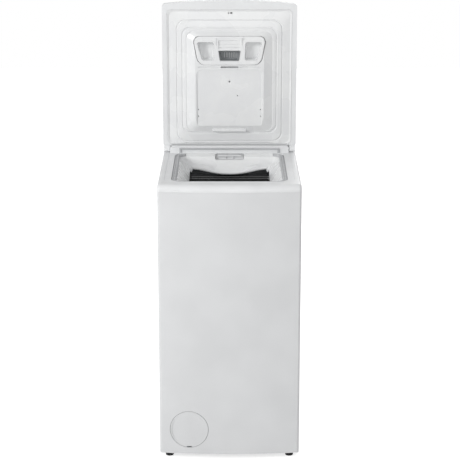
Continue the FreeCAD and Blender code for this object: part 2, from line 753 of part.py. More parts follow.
def lid_liner():
    """White inner lid: flat border, sealing rib, and a pan that dips into the collar when shut.

    A well through the pan holds the detergent box.
    """
    low = D.lid_underside
    gap = 0.4
    wall = D.pan_wall
    plate = prism("liner_plate", HALF - D.lid_border - gap, D.lid_far - D.hinge_back - gap,
                  D.lid_rear - D.lid_wall - gap, 13 - gap, low, low + D.lid_wall)
    middle = (D.seat_half - 7, D.pan_far + 23 - D.hinge_back, D.hinge_back - 22, 28)
    rib = ring("liner_rib", grown(middle, 1.5), grown(middle, -1.5), low - 1.7, low + 1)
    foot = (D.pan_half, D.pan_far - D.hinge_back, D.hinge_back - D.pan_near, 30)
    crown = (D.crown_half, D.crown_far - D.hinge_back, D.hinge_back - D.crown_near, 22)
    face = low - D.pan_rise
    pan = tapered("liner_pan", foot, crown, low + 1, face)
    hollow = tapered("liner_hollow", grown(foot, -wall), grown(crown, -wall), low + D.lid_wall + 1,
                     face + wall)
    front, rear = D.hinge_back - D.tray_far, D.hinge_back - D.tray_near
    room = D.tray_half + gap
    floor = low + D.tray_sunk + gap
    well = block("liner_well", (-room - 2, room + 2), (front - gap - 2, rear + gap + 2),
                 (face + 0.5, floor + 2))
    space = block("liner_well_space", (-room, room), (front - gap, rear + gap), (face - 3, floor))
    shell = cut("liner_shell", joined("liner_solid", plate, rib, pan), hollow)
    part("lid_liner", cut("lid_liner", joined("liner_walled", shell, well), space), OPEN, HINGE)


def hinge_pins():
    """Two pins in the raised step on which the lid turns."""
    right = rod("hinge_pin", "x", D.pin_radius, 168, 197.5, (D.hinge_back, D.hinge_height))
    part("lid_hinge_pins", group("lid_hinge_pins", right, mirrored("hinge_pin_left", right)))


def dispenser():
    """Removable detergent box with three pockets and a siphon cap over half of the middle one."""
    floor = D.lid_underside + D.tray_sunk
    face = D.lid_underside - D.pan_rise - D.tray_proud
    front, rear = D.hinge_back - D.tray_far, D.hinge_back - D.tray_near
    box = block("dispenser_box", (-D.tray_half, D.tray_half), (front, rear), (face, floor))
    box = rounded("dispenser_round", box, 8,
                  lambda edge: edge.BoundBox.ZLength > 10)
    pockets = [block("dispenser_pocket", (left, right), (front + 8, rear - 3), (face - 1, floor - 2))
               for left, right in ((-102, -43), (-35, 35), (43, 102))]
    part("dispenser_tray", cut("dispenser_tray", box, *pockets), OPEN, HINGE)
    cap = block("siphon_plate", (-34, 34), (front + 8.4, front + 40), (face + 6, face + 8))
    stem = rod("siphon_stem", "z", 6, face + 7, floor - 2.3, (0, front + 24))
    part("siphon_cap", joined("siphon_cap", cap, stem), OPEN, HINGE)


# ---------------------------------------------------------------- tub


AXIS = (D.axis_back, D.axis_height)


def seam_rods(name, radius, reach):
    """Rods across the seam, all round except at the mouth and the sump."""
    return [rod(name, "x", radius, -reach, reach, about_axis(D.tub_radius + 4.5, degrees))
            for degrees in SEAM_ANGLES]


def tub_solid():
    """The whole tub: shell, mouth, sump, bearing hubs, spring lugs and damper lugs."""
    half, wall = D.tub_half, D.tub_wall
    hub = D.bearing_radius + 9
    neck = grown(THROAT, 5)
    solid = [
        rod("tub_outer", "x", D.tub_radius, -half, half, AXIS),
        rod("tub_seam", "x", D.tub_radius + 8, -5, 5, AXIS),
        prism("tub_neck", *neck, D.axis_height, D.tub_mouth_top),
        block("tub_sump", (-127, 100), (-70, 20), (180, 230)),
        rod("tub_nipple", "z", 12, 164, 182, (-103, -45)),
        rod("tub_hubs", "x", hub, -half - 18, half + 18, AXIS),
    ]
    for side in (-1, 1):
        for along, up in ((D.spring_front, D.spring_bottom - 16), (D.spring_back, D.spring_bottom - 16)):
            near, far = sorted((148 * side, 187 * side))
            solid.append(block("tub_spring_lug", (near, far), (along - 9, along + 9), (up, up + 15.7)))
        for along in (D.damper_front, D.damper_back):
            near, far = sorted((148 * side, 184 * side))
            solid.append(block("tub_damper_lug", (near, far), (along - 12, along + 12), (296, 314)))
    hollow = [
        rod("tub_inner", "x", D.tub_radius - wall, wall - half, half - wall, AXIS),
        prism("tub_neck_inner", *grown(THROAT, 1), D.axis_height, D.tub_mouth_top + 1),
        block("tub_sump_inner", (-123, 96), (-66, 16), (184, 260)),
        rod("tub_drain", "z", 10, 163, 190, (-103, -45)),
        rod("tub_seal_seats", "x", D.seal_radius, -half - 1, half + 1, AXIS),
        rod("tub_bearing_left", "x", D.bearing_radius, -half - 19, -half - 1, AXIS),
        rod("tub_bearing_right", "x", D.bearing_radius, half + 1, half + 19, AXIS),
        *seam_rods("tub_screw_hole", 2.6, 6),
    ]
    return cut("tub", joined("tub_solid", *solid), *hollow)


def tub():
    whole = tub_solid()
    far = 220
    left = block("tub_left_space", (-far, -0.1), (-320, 320), (100, 760))
    right = block("tub_right_space", (0.1, far), (-320, 320), (100, 760))
    part("tub_left_half", overlap("tub_left_half", whole, left))
    part("tub_right_half", overlap("tub_right_half", whole, right))


def about_axis(radius, degrees):
    """Y and Z of a point at an angle from straight up about the drum's axis."""
    turn = math.radians(degrees)
    return D.axis_back + sized(radius) * math.sin(turn), D.axis_height + sized(radius) * math.cos(turn)


def tub_screws():
    """Screws that clamp the two halves together."""
    part("tub_screws", group("tub_screws", *seam_rods("seam_screw", 2.5, 10)))


def bearing_pair(name, outer, inner, near, far):
    """Two rings on the drum's axis, one at each side."""
    right = cut(f"{name}_right", rod(f"{name}_outer", "x", outer, near, far, AXIS),
                rod(f"{name}_inner", "x", inner, near - 1, far + 1, AXIS))
    part(name, group(name, right, mirrored(f"{name}_left", right)))


def bearings_and_seals():
    near = D.tub_half + 1
    bearing_pair("drum_bearings", D.bearing_radius, D.shaft_radius + 0.05, near, near + D.bearing_width)
    bearing_pair("shaft_seals", D.seal_radius, D.shaft_radius + 0.08, near - 4.5, near - 0.2)


def heating_element():
    """U-shaped heater rod lying in the sump."""
    height = 199
    near, far = -47, -3
    legs = [rod("heater_leg", "x", 4, -122.5, 60, (along, height)) for along in (near, far)]
    bend = document.addObject("Part::Torus", "heater_bend")
    bend.Radius1, bend.Radius2, bend.Angle3 = (far - near) / 2, 4, 180
    place(bend, (60, (near + far) / 2, height), Rotation(Vector(0, 0, 1), -90))
    part("heating_element", joined("heating_element", *legs, bend))


def counterweights():
    """Cast blocks shaped to the tub, low at the front and high at the rear."""
    for name, along, up in (("counterweight_front", (-284, -170), (215, 320)),
                            ("counterweight_rear", (118, 262), (535, 640))):
        mass = block(f"{name}_block", (-112, 112), along, up)
        space = rod(f"{name}_space", "x", D.tub_radius + 8.3, -113, 113, AXIS)
        part(name, cut(name, mass, space))


def suspension_spots(across, front, back):
    return [(side, along) for side in (-across, across) for along in (front, back)]


def suspension():
    """Four hanging springs and four upright friction dampers."""
    coils = [
        cut("spring_coil", rod("spring_outer", "z", D.spring_radius, D.spring_bottom, D.spring_top, spot),
            rod("spring_inner", "z", D.spring_radius - 2.5, D.spring_bottom - 1, D.spring_top + 1, spot))
        for spot in suspension_spots(D.spring_across, D.spring_front, D.spring_back)
    ]
    part("suspension_springs", group("suspension_springs", *coils))
    spots = suspension_spots(D.damper_across, D.damper_front, D.damper_back)
    sleeves = [
        cut("damper_sleeve", rod("damper_outer", "z", D.damper_radius, 18, 190, spot),
            rod("damper_bore", "z", D.rod_radius + 0.06, 60, 191, spot)) for spot in spots
    ]
    part("damper_cylinders", group("damper_cylinders", *sleeves))
    part("damper_rods", group("damper_rods", *[rod("damper_rod", "z", D.rod_radius, 90, 296, spot)
                                               for spot in spots]))


# ---------------------------------------------------------------- drum


def turned_about_drum(item, degrees):
    centre = Vector(0, D.axis_back.value, D.axis_height.value)
    item.Placement = FreeCAD.Placement(Vector(), Rotation(Vector(1, 0, 0), degrees), centre)
    return item


def arc_sheet(name, half, outer, inner, start, end):
    """A curved sheet about the drum's axis between two angles from straight up, towards +Y."""
    sheet_ring = cut(f"{name}_ring", rod(f"{name}_outer", "x", outer, -half, half, AXIS),
                     rod(f"{name}_inner", "x", inner, -half - 1, half + 1, AXIS))
    body = new_body(f"{name}_sector")
    corners = [AXIS] + [about_axis(300, degrees) for degrees in (start, end)]
    padded(body, outline(body, "YZ_Plane", corners), sized(half) * 2 + 1, Midplane=True)
    return overlap(name, sheet_ring, body)


def drum_shell():
    """Rolled stainless drum with a loading opening and the brackets for the flaps' pins."""
    radius, gauge = D.drum_radius, D.drum_gauge
    skin = cut("drum_skin", rod("drum_outer", "x", radius, -D.drum_half, D.drum_half, AXIS),
               rod("drum_inner", "x", radius - gauge, -D.drum_half - 1, D.drum_half + 1, AXIS))
    opening = []
    for side in (-1, 1):
        body = new_body("drum_opening")
        corners = [AXIS, about_axis(300, 0), about_axis(300, side * SIZES["flap_angle"])]
        padded(body, outline(body, "YZ_Plane", corners), D.flap_half * 2 + 1, Midplane=True)
        opening.append(body)
    lugs = []
    for side in (-1, 1):
        degrees = side * SIZES["flap_angle"]
        along, up = about_axis(radius - D.pivot_inset, degrees)
        for near, far in ((-108, -102), (102, 108)):
            ear = rod("drum_ear", "x", 3.5, near, far, (along, up))
            foot_point = about_axis(radius - 4, degrees + side * 1.2)
            lugs += [ear, rod("drum_ear_root", "x", 3.4, near, far, foot_point)]
    holed = cut("drum_open", skin, *opening)
    pins = [rod("drum_pin_hole", "x", 1.5, -109, 109, about_axis(radius - D.pivot_inset, side))
            for side in (-SIZES["flap_angle"], SIZES["flap_angle"])]
    part("drum_shell", cut("drum_shell", joined("drum_shell_solid", holed, *lugs), *pins))


def flap_pins():
    """Long pins that the two flaps turn on."""
    pins = [rod("flap_pin", "x", 1.5, -108, 108, about_axis(D.drum_radius - D.pivot_inset, degrees))
            for degrees in (-SIZES["flap_angle"], SIZES["flap_angle"])]
    part("flap_hinge_pins", group("flap_hinge_pins", *pins))


def flap(name, button):
    """Curved flap with rolled stiffening and two knuckles, drawn as the rear one."""
    radius = D.drum_radius
    half = D.flap_half - 0.6
    edge = SIZES["flap_angle"] - 0.35
    sheet_part = arc_sheet(f"{name}_sheet", half, radius, radius - 1.5, 0.35, edge)
    pivot = about_axis(radius - D.pivot_inset, SIZES["flap_angle"])
    pieces = [sheet_part]
    for near, far in ((-90, -40), (40, 90)):
        pieces.append(rod(f"{name}_knuckle", "x", 3.2, near, far, pivot))
        web = arc_sheet(f"{name}_web", 25, radius - 1, radius - 7, edge - 2, edge)
        place(web, ((near + far) / 2, 0, 0))
        pieces.append(web)
    bore = rod(f"{name}_bore", "x", 1.55, -91, 91, pivot)
    tools = [bore]
    if button:
        tools.append(rod(f"{name}_hole", "z", 9.06, 660, 700, (0, D.axis_back + 22)))
    return cut(name, joined(f"{name}_solid", *pieces), *tools)


def flaps():
    part("rear_drum_flap", flap("rear_drum_flap", False))
    front = flap("front_flap_source", True)
    item = document.addObject("Part::Mirroring", "front_drum_flap")
    item.Source = front
    item.Normal = Vector(0, 1, 0)
    item.Base = Vector(0, D.axis_back.value, 0)
    part("front_drum_flap", item)
    part("flap_latch_button", rod("flap_latch_button", "z", 9, 668, 681.5, (0, D.axis_back - 22)))


def drum_ends():
    """Pressed end discs, their shafts, and the lifters that tumble the load."""
    near = D.drum_half
    disc = cut("drum_disc", rod("drum_disc_solid", "x", D.drum_radius, near, near + 2, AXIS),
               rod("drum_disc_hole", "x", D.shaft_radius, near - 1, near + 3, AXIS))
    part("drum_ends", group("drum_ends", disc, mirrored("drum_disc_left", disc)))
    shafts = []
    for side, reach in ((-1, D.tub_half + 22), (1, D.pulley_near + D.pulley_width + 3)):
        spans = ((near + 2, near + 8, sized(62)), (near, reach, D.shaft_radius))
        pieces = []
        for start, end, radius in spans:
            low, high = (start, end) if side > 0 else (-end, -start)
            pieces.append(rod("drum_shaft", "x", radius, low, high, AXIS))
        shafts.append(joined("drum_shaft_whole", *pieces))
    part("drum_shafts", group("drum_shafts", *shafts))


def drum_lifters():
    """Three-sided ribs along the inside of the drum."""
    ribs = []
    for degrees in (120, 240):
        body = new_body("lifter")
        low = D.axis_height + D.drum_radius - D.drum_gauge - 3
        corners = [(D.axis_back - 26, low), (D.axis_back + 26, low), (D.axis_back + 9, low - 46),
                   (D.axis_back - 9, low - 46)]
        padded(body, outline(body, "YZ_Plane", corners), D.drum_half * 2 - 6, Midplane=True)
        ribs.append(turned_about_drum(body, degrees))
    part("drum_lifters", group("drum_lifters", *ribs))


# ---------------------------------------------------------------- drive


def drum_pulley():
    """Spoked pulley on the right-hand shaft."""
    body = new_body("pulley")
    hub, rim, width = 24, D.pulley_radius - 14, D.pulley_width
    corners = [(D.shaft_radius, 0), (hub, 0), (hub, 4), (rim, 4), (rim, 0), (D.pulley_radius, 0),
               (D.pulley_radius, width), (rim, width), (rim, 9), (hub, 9), (hub, width),
               (D.shaft_radius, width)]
    sketch = outline(body, "XZ_Plane", corners)
    spin = feature(body, "Revolution", sketch, Angle=360)
    spin.ReferenceAxis = (sketch, ["V_Axis"])
    document.recompute()
    solid = body.Shape.Volume
    window = pocketed(body, circles(body, "XY_Plane", [(69, 0, 26)], 12), 14)
    pattern = body.newObject("PartDesign::PolarPattern", "pulley_windows")
    pattern.Originals = [window]
    pattern.Axis = (sketch, ["V_Axis"])
    pattern.Angle = 360
    pattern.Occurrences = 6
    body.Tip = pattern
    document.recompute()
    if body.Shape.Volume > solid * 0.95:
        raise RuntimeError("the pulley's windows cut nothing")
    place(body, (D.pulley_near, *AXIS), TURN["x"])
    part("drum_pulley", body)


def belt_loop(large, small, near, far, apart):
    """A flat wire round two circles, the first at the origin and the second at the point apart."""
    reach = math.hypot(*apart)
    heading = math.atan2(apart[1], apart[0])
    lean = math.acos((large - small) / reach)
    ends = []
    for radius, centre in ((large, (0, 0)), (small, apart)):
        for side in (1, -1):
            turn = heading + side * lean
            ends.append(Vector(near, centre[0] + radius * math.cos(turn), centre[1] + radius * math.sin(turn)))
    back = Vector(near, -large * math.cos(heading), -large * math.sin(heading))
    tip = Vector(near, apart[0] + small * math.cos(heading), apart[1] + small * math.sin(heading))
    edges = [Part.Arc(ends[0], back, ends[1]).toShape(), Part.LineSegment(ends[1], ends[3]).toShape(),
             Part.Arc(ends[3], tip, ends[2]).toShape(), Part.LineSegment(ends[2], ends[0]).toShape()]
    return Part.Face(Part.Wire(edges)).extrude(Vector(far - near, 0, 0))


def drive_belt():
    """Flat ribbed belt round both pulleys."""
    near = SIZES["pulley_near"] + (SIZES["pulley_width"] - SIZES["belt_width"]) / 2
    far = near + SIZES["belt_width"]
    apart = (SIZES["motor_back"] - SIZES["axis_back"], SIZES["motor_height"] - SIZES["axis_height"])
    inner = [SIZES[name] + SIZES["belt_gap"] for name in ("pulley_radius", "motor_pulley_radius")]
    outer = [radius + SIZES["belt_thick"] for radius in inner]
    band = belt_loop(*outer, near, far, apart).cut(belt_loop(*inner, near - 1, far + 1, apart))
    item = document.addObject("Part::Feature", "drive_belt")
    item.Shape = band
    item.Placement = FreeCAD.Placement(Vector(0, SIZES["axis_back"], SIZES["axis_height"]), Rotation())
    part("drive_belt", item)


def motor():
    """Motor hung from the tub, with its rotor and small pulley."""
    spot = (D.motor_back, D.motor_height)
    case = rod("motor_case", "x", D.motor_radius, -10, 130, spot)
    arm = block("motor_arm", (30, 100), (D.motor_back - 30, D.motor_back + 45), (D.motor_height + 40, 300))
    space = rod("motor_tub_space", "x", D.tub_radius + 0.3, -200, 200, AXIS)
    hollow = rod("motor_hollow", "x", 42.4, 10, 112, spot)
    bore = rod("motor_bore", "x", 7.05, 100, 131, spot)
    part("motor_housing", cut("motor_housing", joined("motor_solid", case, arm), space, hollow, bore))
    end = D.pulley_near + D.pulley_width + 2
    rotor = joined("motor_rotor", rod("rotor_core", "x", 42, 16, 106, spot),
                   rod("rotor_shaft", "x", 7, 105, end, spot))
    part("motor_rotor", rotor)
    wheel = cut("motor_pulley", rod("motor_pulley_solid", "x", D.motor_pulley_radius, D.pulley_near,
                                    D.pulley_near + D.pulley_width, spot),
                rod("motor_pulley_bore", "x", 7, 170, 190, spot))
    part("motor_pulley", wheel)


# ---------------------------------------------------------------- build and write


def build():
    front_panel()
    side_panels()
    rear_panel()
    base_tray()
    feet()
    spring_rails()
    top_frame()
    door_gasket()
    loading_collar()
    water_nozzles()
    bellows_seal()
    lid_lock()
    drain_pump()
    filter_cap()
    filter_cover()
    sump_hose()
    inlet_valve()
    fill_hose()
    rear_fittings()
    console()
    programme_knob()
    push_button("start_button", START_SPOT)
    push_button("spin_button", SPIN_SPOT)
    lid_shell()
    lid_liner()
    hinge_pins()
    dispenser()
    tub()
    tub_screws()
    bearings_and_seals()
    heating_element()
    counterweights()
    suspension()
    drum_shell()
    flap_pins()
    flaps()
    drum_ends()
    drum_lifters()
    drum_pulley()
    drive_belt()
    motor()


def check_document():
    for item in document.Objects:
        if {"Invalid", "Error"} & set(item.State):
            raise RuntimeError(f"{item.Name} ({item.Label}) failed: {item.State}")
    for item in PARTS:
        if item.Shape.isNull() or not item.Shape.isValid() or not item.Shape.Solids:
            raise RuntimeError(f"{item.Label} has no sound shape")


def write_parts():
    os.makedirs("parts", exist_ok=True)
    for item in PARTS:
        item.Shape.exportStep(f"parts/{item.Label}.step")
        print(item.Label, len(item.Shape.Solids), round(item.Shape.Volume))


build()
document.recompute()
check_document()
write_parts()
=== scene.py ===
"""Visual model of a slim top-load washing machine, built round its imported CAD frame.

Metres, with X across the machine, the front facing -Y and Z up from the floor.  The lid stands open.
Sizes written in millimetres are multiplied by MM.
"""
import json
import math

import bmesh
import bpy
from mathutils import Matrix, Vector

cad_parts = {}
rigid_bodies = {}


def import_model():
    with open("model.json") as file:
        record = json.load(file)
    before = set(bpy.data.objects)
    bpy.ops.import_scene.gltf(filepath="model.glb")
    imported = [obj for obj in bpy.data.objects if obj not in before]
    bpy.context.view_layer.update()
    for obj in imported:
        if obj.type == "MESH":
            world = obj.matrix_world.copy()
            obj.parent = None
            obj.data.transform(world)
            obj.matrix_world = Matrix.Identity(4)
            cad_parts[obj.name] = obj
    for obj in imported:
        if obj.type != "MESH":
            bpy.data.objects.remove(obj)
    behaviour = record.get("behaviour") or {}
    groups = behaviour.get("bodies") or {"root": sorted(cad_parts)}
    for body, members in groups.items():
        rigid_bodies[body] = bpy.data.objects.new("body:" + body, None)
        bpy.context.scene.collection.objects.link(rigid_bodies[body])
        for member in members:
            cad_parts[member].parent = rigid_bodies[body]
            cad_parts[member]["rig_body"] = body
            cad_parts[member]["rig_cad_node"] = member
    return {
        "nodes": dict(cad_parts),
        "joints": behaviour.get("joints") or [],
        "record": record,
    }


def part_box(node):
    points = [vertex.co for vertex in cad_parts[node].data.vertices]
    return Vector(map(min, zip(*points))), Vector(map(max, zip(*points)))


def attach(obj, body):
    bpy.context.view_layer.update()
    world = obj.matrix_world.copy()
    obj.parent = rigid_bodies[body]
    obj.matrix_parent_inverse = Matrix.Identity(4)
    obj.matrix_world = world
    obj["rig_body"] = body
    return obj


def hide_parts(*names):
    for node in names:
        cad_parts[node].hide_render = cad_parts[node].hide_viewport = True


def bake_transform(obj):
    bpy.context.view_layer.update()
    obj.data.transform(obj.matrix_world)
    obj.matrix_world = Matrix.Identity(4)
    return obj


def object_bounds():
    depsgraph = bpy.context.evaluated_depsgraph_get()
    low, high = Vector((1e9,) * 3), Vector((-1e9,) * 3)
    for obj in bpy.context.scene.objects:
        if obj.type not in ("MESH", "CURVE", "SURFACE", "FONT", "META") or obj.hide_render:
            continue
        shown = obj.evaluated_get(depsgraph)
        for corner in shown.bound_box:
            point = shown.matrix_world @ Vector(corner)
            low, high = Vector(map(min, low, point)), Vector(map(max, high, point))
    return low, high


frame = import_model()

cad_low, cad_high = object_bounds()
MM = 0.001
FLAT = (0.0, 0.0, 0.0)
UPRIGHT = (math.pi / 2, 0.0, 0.0)
TRAY_TAPER = 0.85       # the detergent box is this much narrower at its foot than at its top


# ---------------------------------------------------------------- places read from the frame


def joint(name):
    """One joint's entry in the frame."""
    return next(j for j in frame["joints"] if j["name"] == name)


hinge = Vector(joint("lid_hinge")["pos_m"])
dial_place = Vector(joint("programme_turn")["pos_m"])
drum_axis = Vector(joint("drum_spin")["pos_m"])
LID_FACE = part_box("lid_shell")[0].y
liner_low, liner_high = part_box("lid_liner")
PAN_FACE = liner_low.y
tray_low, tray_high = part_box("dispenser_tray")
seal_low, seal_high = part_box("door_gasket")
collar_low, collar_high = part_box("loading_collar")
bellows_low, bellows_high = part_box("bellows_seal")
rim_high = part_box("top_frame")[1]

# The bellows stands this far outside the throat, whose lip is as far above the collar's foot.
BELLOWS_ROOM = 7 * MM
throat_half = bellows_high.x - BELLOWS_ROOM
throat_front = bellows_low.y + BELLOWS_ROOM
throat_rear = bellows_high.y - BELLOWS_ROOM
THROAT_LIP = collar_low.z + BELLOWS_ROOM


def from_hinge(distance):
    """Height of a point that lies this many millimetres up the open lid from the hinge."""
    return hinge.z + distance * MM


# ---------------------------------------------------------------- modelling by hand, in code


def deselect():
    """Select no piece."""
    bpy.ops.object.select_all(action="DESELECT")


def only(piece):
    """Select one piece and nothing else."""
    deselect()
    piece.hide_viewport = False
    piece.select_set(True)
    bpy.context.view_layer.objects.active = piece
    return piece


def edit(piece):
    """Open one piece for editing, with all of it selected."""
    only(piece)
    bpy.ops.object.mode_set(mode="EDIT")
    bpy.ops.mesh.select_mode(type="VERT")
    bpy.ops.mesh.select_all(action="SELECT")


def done():
    """Close the piece that is being edited."""
    bpy.ops.object.mode_set(mode="OBJECT")


def pick(kind, wanted):
    """In edit mode, select only the vertices, edges or faces that pass a test of their middle."""
    bpy.ops.mesh.select_mode(type=kind)
    bpy.ops.mesh.select_all(action="DESELECT")
    mesh = bmesh.from_edit_mesh(bpy.context.object.data)
    items = {"VERT": mesh.verts, "EDGE": mesh.edges, "FACE": mesh.faces}[kind]
    for item in items:
        if wanted(item):
            item.select_set(True)
    mesh.select_flush_mode()
    bmesh.update_edit_mesh(bpy.context.object.data)


def along(edge):
    """The direction of an edge, as the shares of its length along X, Y and Z."""
    span = edge.verts[1].co - edge.verts[0].co
    return [abs(part) / max(span.length, 1e-9) for part in span]


def settle(piece):
    """Apply a piece's place, turn and size to its mesh."""
    only(piece)
    bpy.ops.object.transform_apply(location=True, rotation=True, scale=True)
    return piece


def modify(piece, kind, **settings):
    """Add a modifier with its settings and apply it."""
    only(piece)
    modifier = piece.modifiers.new(kind.lower(), kind)
    for name, value in settings.items():
        setattr(modifier, name, value)
    bpy.ops.object.modifier_apply(modifier=modifier.name)
    return piece


def soften(piece, width, segments=3, angle=28, flowing=False, crease=40):
    """Round every edge sharper than angle and shade smooth; flat faces stay flat unless flowing."""
    if width:
        modify(piece, "BEVEL", width=width * MM, segments=segments, limit_method="ANGLE",
               angle_limit=math.radians(angle), harden_normals=False)
    only(piece)
    bpy.ops.object.shade_smooth_by_angle(angle=math.radians(60 if flowing else crease))
    return piece if flowing else modify(piece, "WEIGHTED_NORMAL", keep_sharp=True, weight=100)


def block(name, low, high, corner=0, axis=None, steps=6):
    """A box in metres from low to high; corner rounds, in millimetres, the edges along axis."""
    low, high = Vector(low), Vector(high)
    deselect()
    bpy.ops.mesh.primitive_cube_add(size=1, location=(low + high) / 2)
    piece = bpy.context.object
    piece.name = name
    piece.scale = high - low
    settle(piece)
    if corner:
        number = "xyz".index(axis)
        edit(piece)
        pick("EDGE", lambda edge: along(edge)[number] > 0.99)
        bpy.ops.mesh.bevel(offset=corner * MM, segments=steps, affect="EDGES")
        done()
    return piece


def rod(name, axis, radius, start, end, spot, sides=48):
    """A cylinder in metres from start to end along axis, at the other two coordinates in spot."""
    number = "xyz".index(axis)
    where = list(spot)
    where.insert(number, (start + end) / 2)
    turn = {"x": (0, math.pi / 2, 0), "y": (math.pi / 2, 0, 0), "z": FLAT}[axis]
    deselect()
    bpy.ops.mesh.primitive_cylinder_add(vertices=sides, radius=radius, depth=abs(end - start),
                                        location=where, rotation=turn)
    piece = bpy.context.object
    piece.name = name
    return settle(piece)


def copied(piece, name, shift=(0, 0, 0)):
    """A copy with its own mesh, moved by shift."""
    only(piece)
    bpy.ops.object.duplicate()
    twin = bpy.context.object
    twin.name = name
    twin.parent = None
    twin.location = shift
    return settle(twin)


def join(name, pieces):
    """Make one piece of several."""
    only(pieces[0])
    for piece in pieces:
        piece.select_set(True)
    if len(pieces) > 1:
        bpy.ops.object.join()
    piece = bpy.context.object
    piece.name = name
    return piece


def boolean(piece, operation, tools):
    """Apply each tool to a piece, and remove the tool."""
    for tool in tools:
        modify(piece, "BOOLEAN", operation=operation, object=tool, solver="EXACT")
        bpy.data.objects.remove(tool)
    return piece


def carve(piece, *tools):
    """Cut each tool out of a piece."""
    return boolean(piece, "DIFFERENCE", tools)


def weld(piece, *tools):
    """Unite each tool with a piece."""
    return boolean(piece, "UNION", tools)


def outline(half, low, high, corner, level, lie, filled=False, steps=6, cuts=9):
    """One rectangle with round corners, symmetric in X, from low to high along Y or up Z."""
    middle = (low + high) / 2
    where = (0, middle, level) if lie is FLAT else (0, level, middle)
    deselect()
    bpy.ops.mesh.primitive_plane_add(size=1, location=where, rotation=lie)
    loop = bpy.context.object
    loop.scale = (half * 2, high - low, 1)
    settle(loop)
    edit(loop)
    bpy.ops.mesh.bevel(offset=corner, segments=steps, affect="VERTICES")
    pick("EDGE", lambda edge: max(along(edge)) > 0.999)
    bpy.ops.mesh.subdivide(number_cuts=cuts)
    bpy.ops.mesh.select_all(action="SELECT")
    if not filled:
        bpy.ops.mesh.delete(type="ONLY_FACE")
    done()
    return loop


def lofted(name, outlines, lie, capped=False, closed=False, **detail):
    """A skin through a row of outlines, each (half, low, high, corner, level) in metres."""
    pairs = list(zip(outlines, outlines[1:]))
    if closed:
        pairs.append((outlines[-1], outlines[0]))
    strips = []
    for one, other in pairs:
        strip = join("strip", [outline(*one, lie, **detail), outline(*other, lie, **detail)])
        edit(strip)
        bpy.ops.mesh.bridge_edge_loops()
        done()
        strips.append(strip)
    if capped:
        strips += [outline(*end, lie, filled=True, **detail) for end in (outlines[0], outlines[-1])]
    piece = join(name, strips)
    edit(piece)
    bpy.ops.mesh.remove_doubles(threshold=1e-6)
    bpy.ops.mesh.normals_make_consistent(inside=False)
    done()
    return piece


def turned(name, profile, axis, spot, steps=64):
    """A turned piece: profile points are (radius, place along the axis) in metres."""
    number = "xyz".index(axis)
    out = (number + 1) % 3

    def point(radius, place):
        where = [0.0, 0.0, 0.0]
        where[number] = place
        others = [n for n in range(3) if n != number]
        for index, value in zip(others, spot):
            where[index] = value
        where[out] += radius
        return Vector(where)

    deselect()
    bpy.ops.mesh.primitive_plane_add(size=MM, location=point(*profile[0]))
    piece = bpy.context.object
    piece.name = name
    settle(piece)
    edit(piece)
    bpy.ops.mesh.merge(type="CENTER")
    for one, other in zip(profile, profile[1:]):
        step = point(*other) - point(*one)
        bpy.ops.mesh.extrude_vertices_move(TRANSFORM_OT_translate={"value": step})
    bpy.ops.mesh.select_all(action="SELECT")
    direction = [0.0, 0.0, 0.0]
    direction[number] = 1.0
    bpy.ops.mesh.spin(steps=steps, angle=math.tau, center=point(0, 0), axis=direction)
    bpy.ops.mesh.select_all(action="SELECT")
    bpy.ops.mesh.remove_doubles(threshold=1e-6)
    bpy.ops.mesh.normals_make_consistent(inside=False)
    done()
    return piece


def swept(name, points, radius, sides=4, cyclic=False):
    """A round wire along points, made a mesh."""
    curve = bpy.data.curves.new(name, "CURVE")
    curve.dimensions = "3D"
    spline = curve.splines.new("POLY")
    spline.points.add(len(points) - 1)
    for spot, where in zip(spline.points, points):
        spot.co = (*where, 1)
    spline.use_cyclic_u = cyclic
    curve.bevel_depth = radius
    curve.bevel_resolution = sides
    curve.use_fill_caps = not cyclic
    wire = bpy.data.objects.new(name, curve)
    bpy.context.scene.collection.objects.link(wire)
    only(wire)
    bpy.ops.object.convert(target="MESH")
    only(wire)
    bpy.ops.object.shade_smooth()
    return wire


# ---------------------------------------------------------------- finishes


def linear(code):
    """An sRGB hex colour as linear red, green, blue and alpha."""
    shares = [int(code[start:start + 2], 16) / 255 for start in (0, 2, 4)]
    return tuple(s / 12.92 if s <= 0.04045 else ((s + 0.055) / 1.055) ** 2.4 for s in shares) + (1.0,)


def add(tree, kind, sockets, **settings):
    """Add one node with its settings; each socket gets a value or another node's output."""
    node = tree.nodes.new(kind)
    for name, value in settings.items():
        setattr(node, name, value)
    for name, value in sockets.items():
        if isinstance(value, bpy.types.NodeSocket):
            tree.links.new(value, node.inputs[name])
        else:
            node.inputs[name].default_value = value
    return node


def finish(name, roughness, metallic=0.0, ior=1.5, coat=0.0):
    """A new finish: its constants are set on the shader itself."""
    material = bpy.data.materials.new(name)
    material.use_nodes = True
    tree = material.node_tree
    shader = tree.nodes["Principled BSDF"]
    shader.inputs["Roughness"].default_value = roughness
    shader.inputs["Metallic"].default_value = metallic
    if not metallic:
        shader.inputs["IOR"].default_value = ior
    shader.inputs["Coat Weight"].default_value = coat
    shader.inputs["Coat Roughness"].default_value = 0.12
    return material, tree, shader


def object_place(tree, stretch=(1, 1, 1)):
    """Place on the object in metres, with each axis scaled by stretch."""
    place = add(tree, "ShaderNodeTexCoord", {}).outputs["Object"]
    return add(tree, "ShaderNodeMapping", {"Vector": place, "Scale": stretch}).outputs[0]


def noise(tree, place, pitch, detail=2.0):
    """Noise whose features are pitch millimetres across."""
    sockets = {"Vector": place, "Scale": 1 / (pitch * MM), "Detail": detail}
    return add(tree, "ShaderNodeTexNoise", sockets).outputs["Fac"]


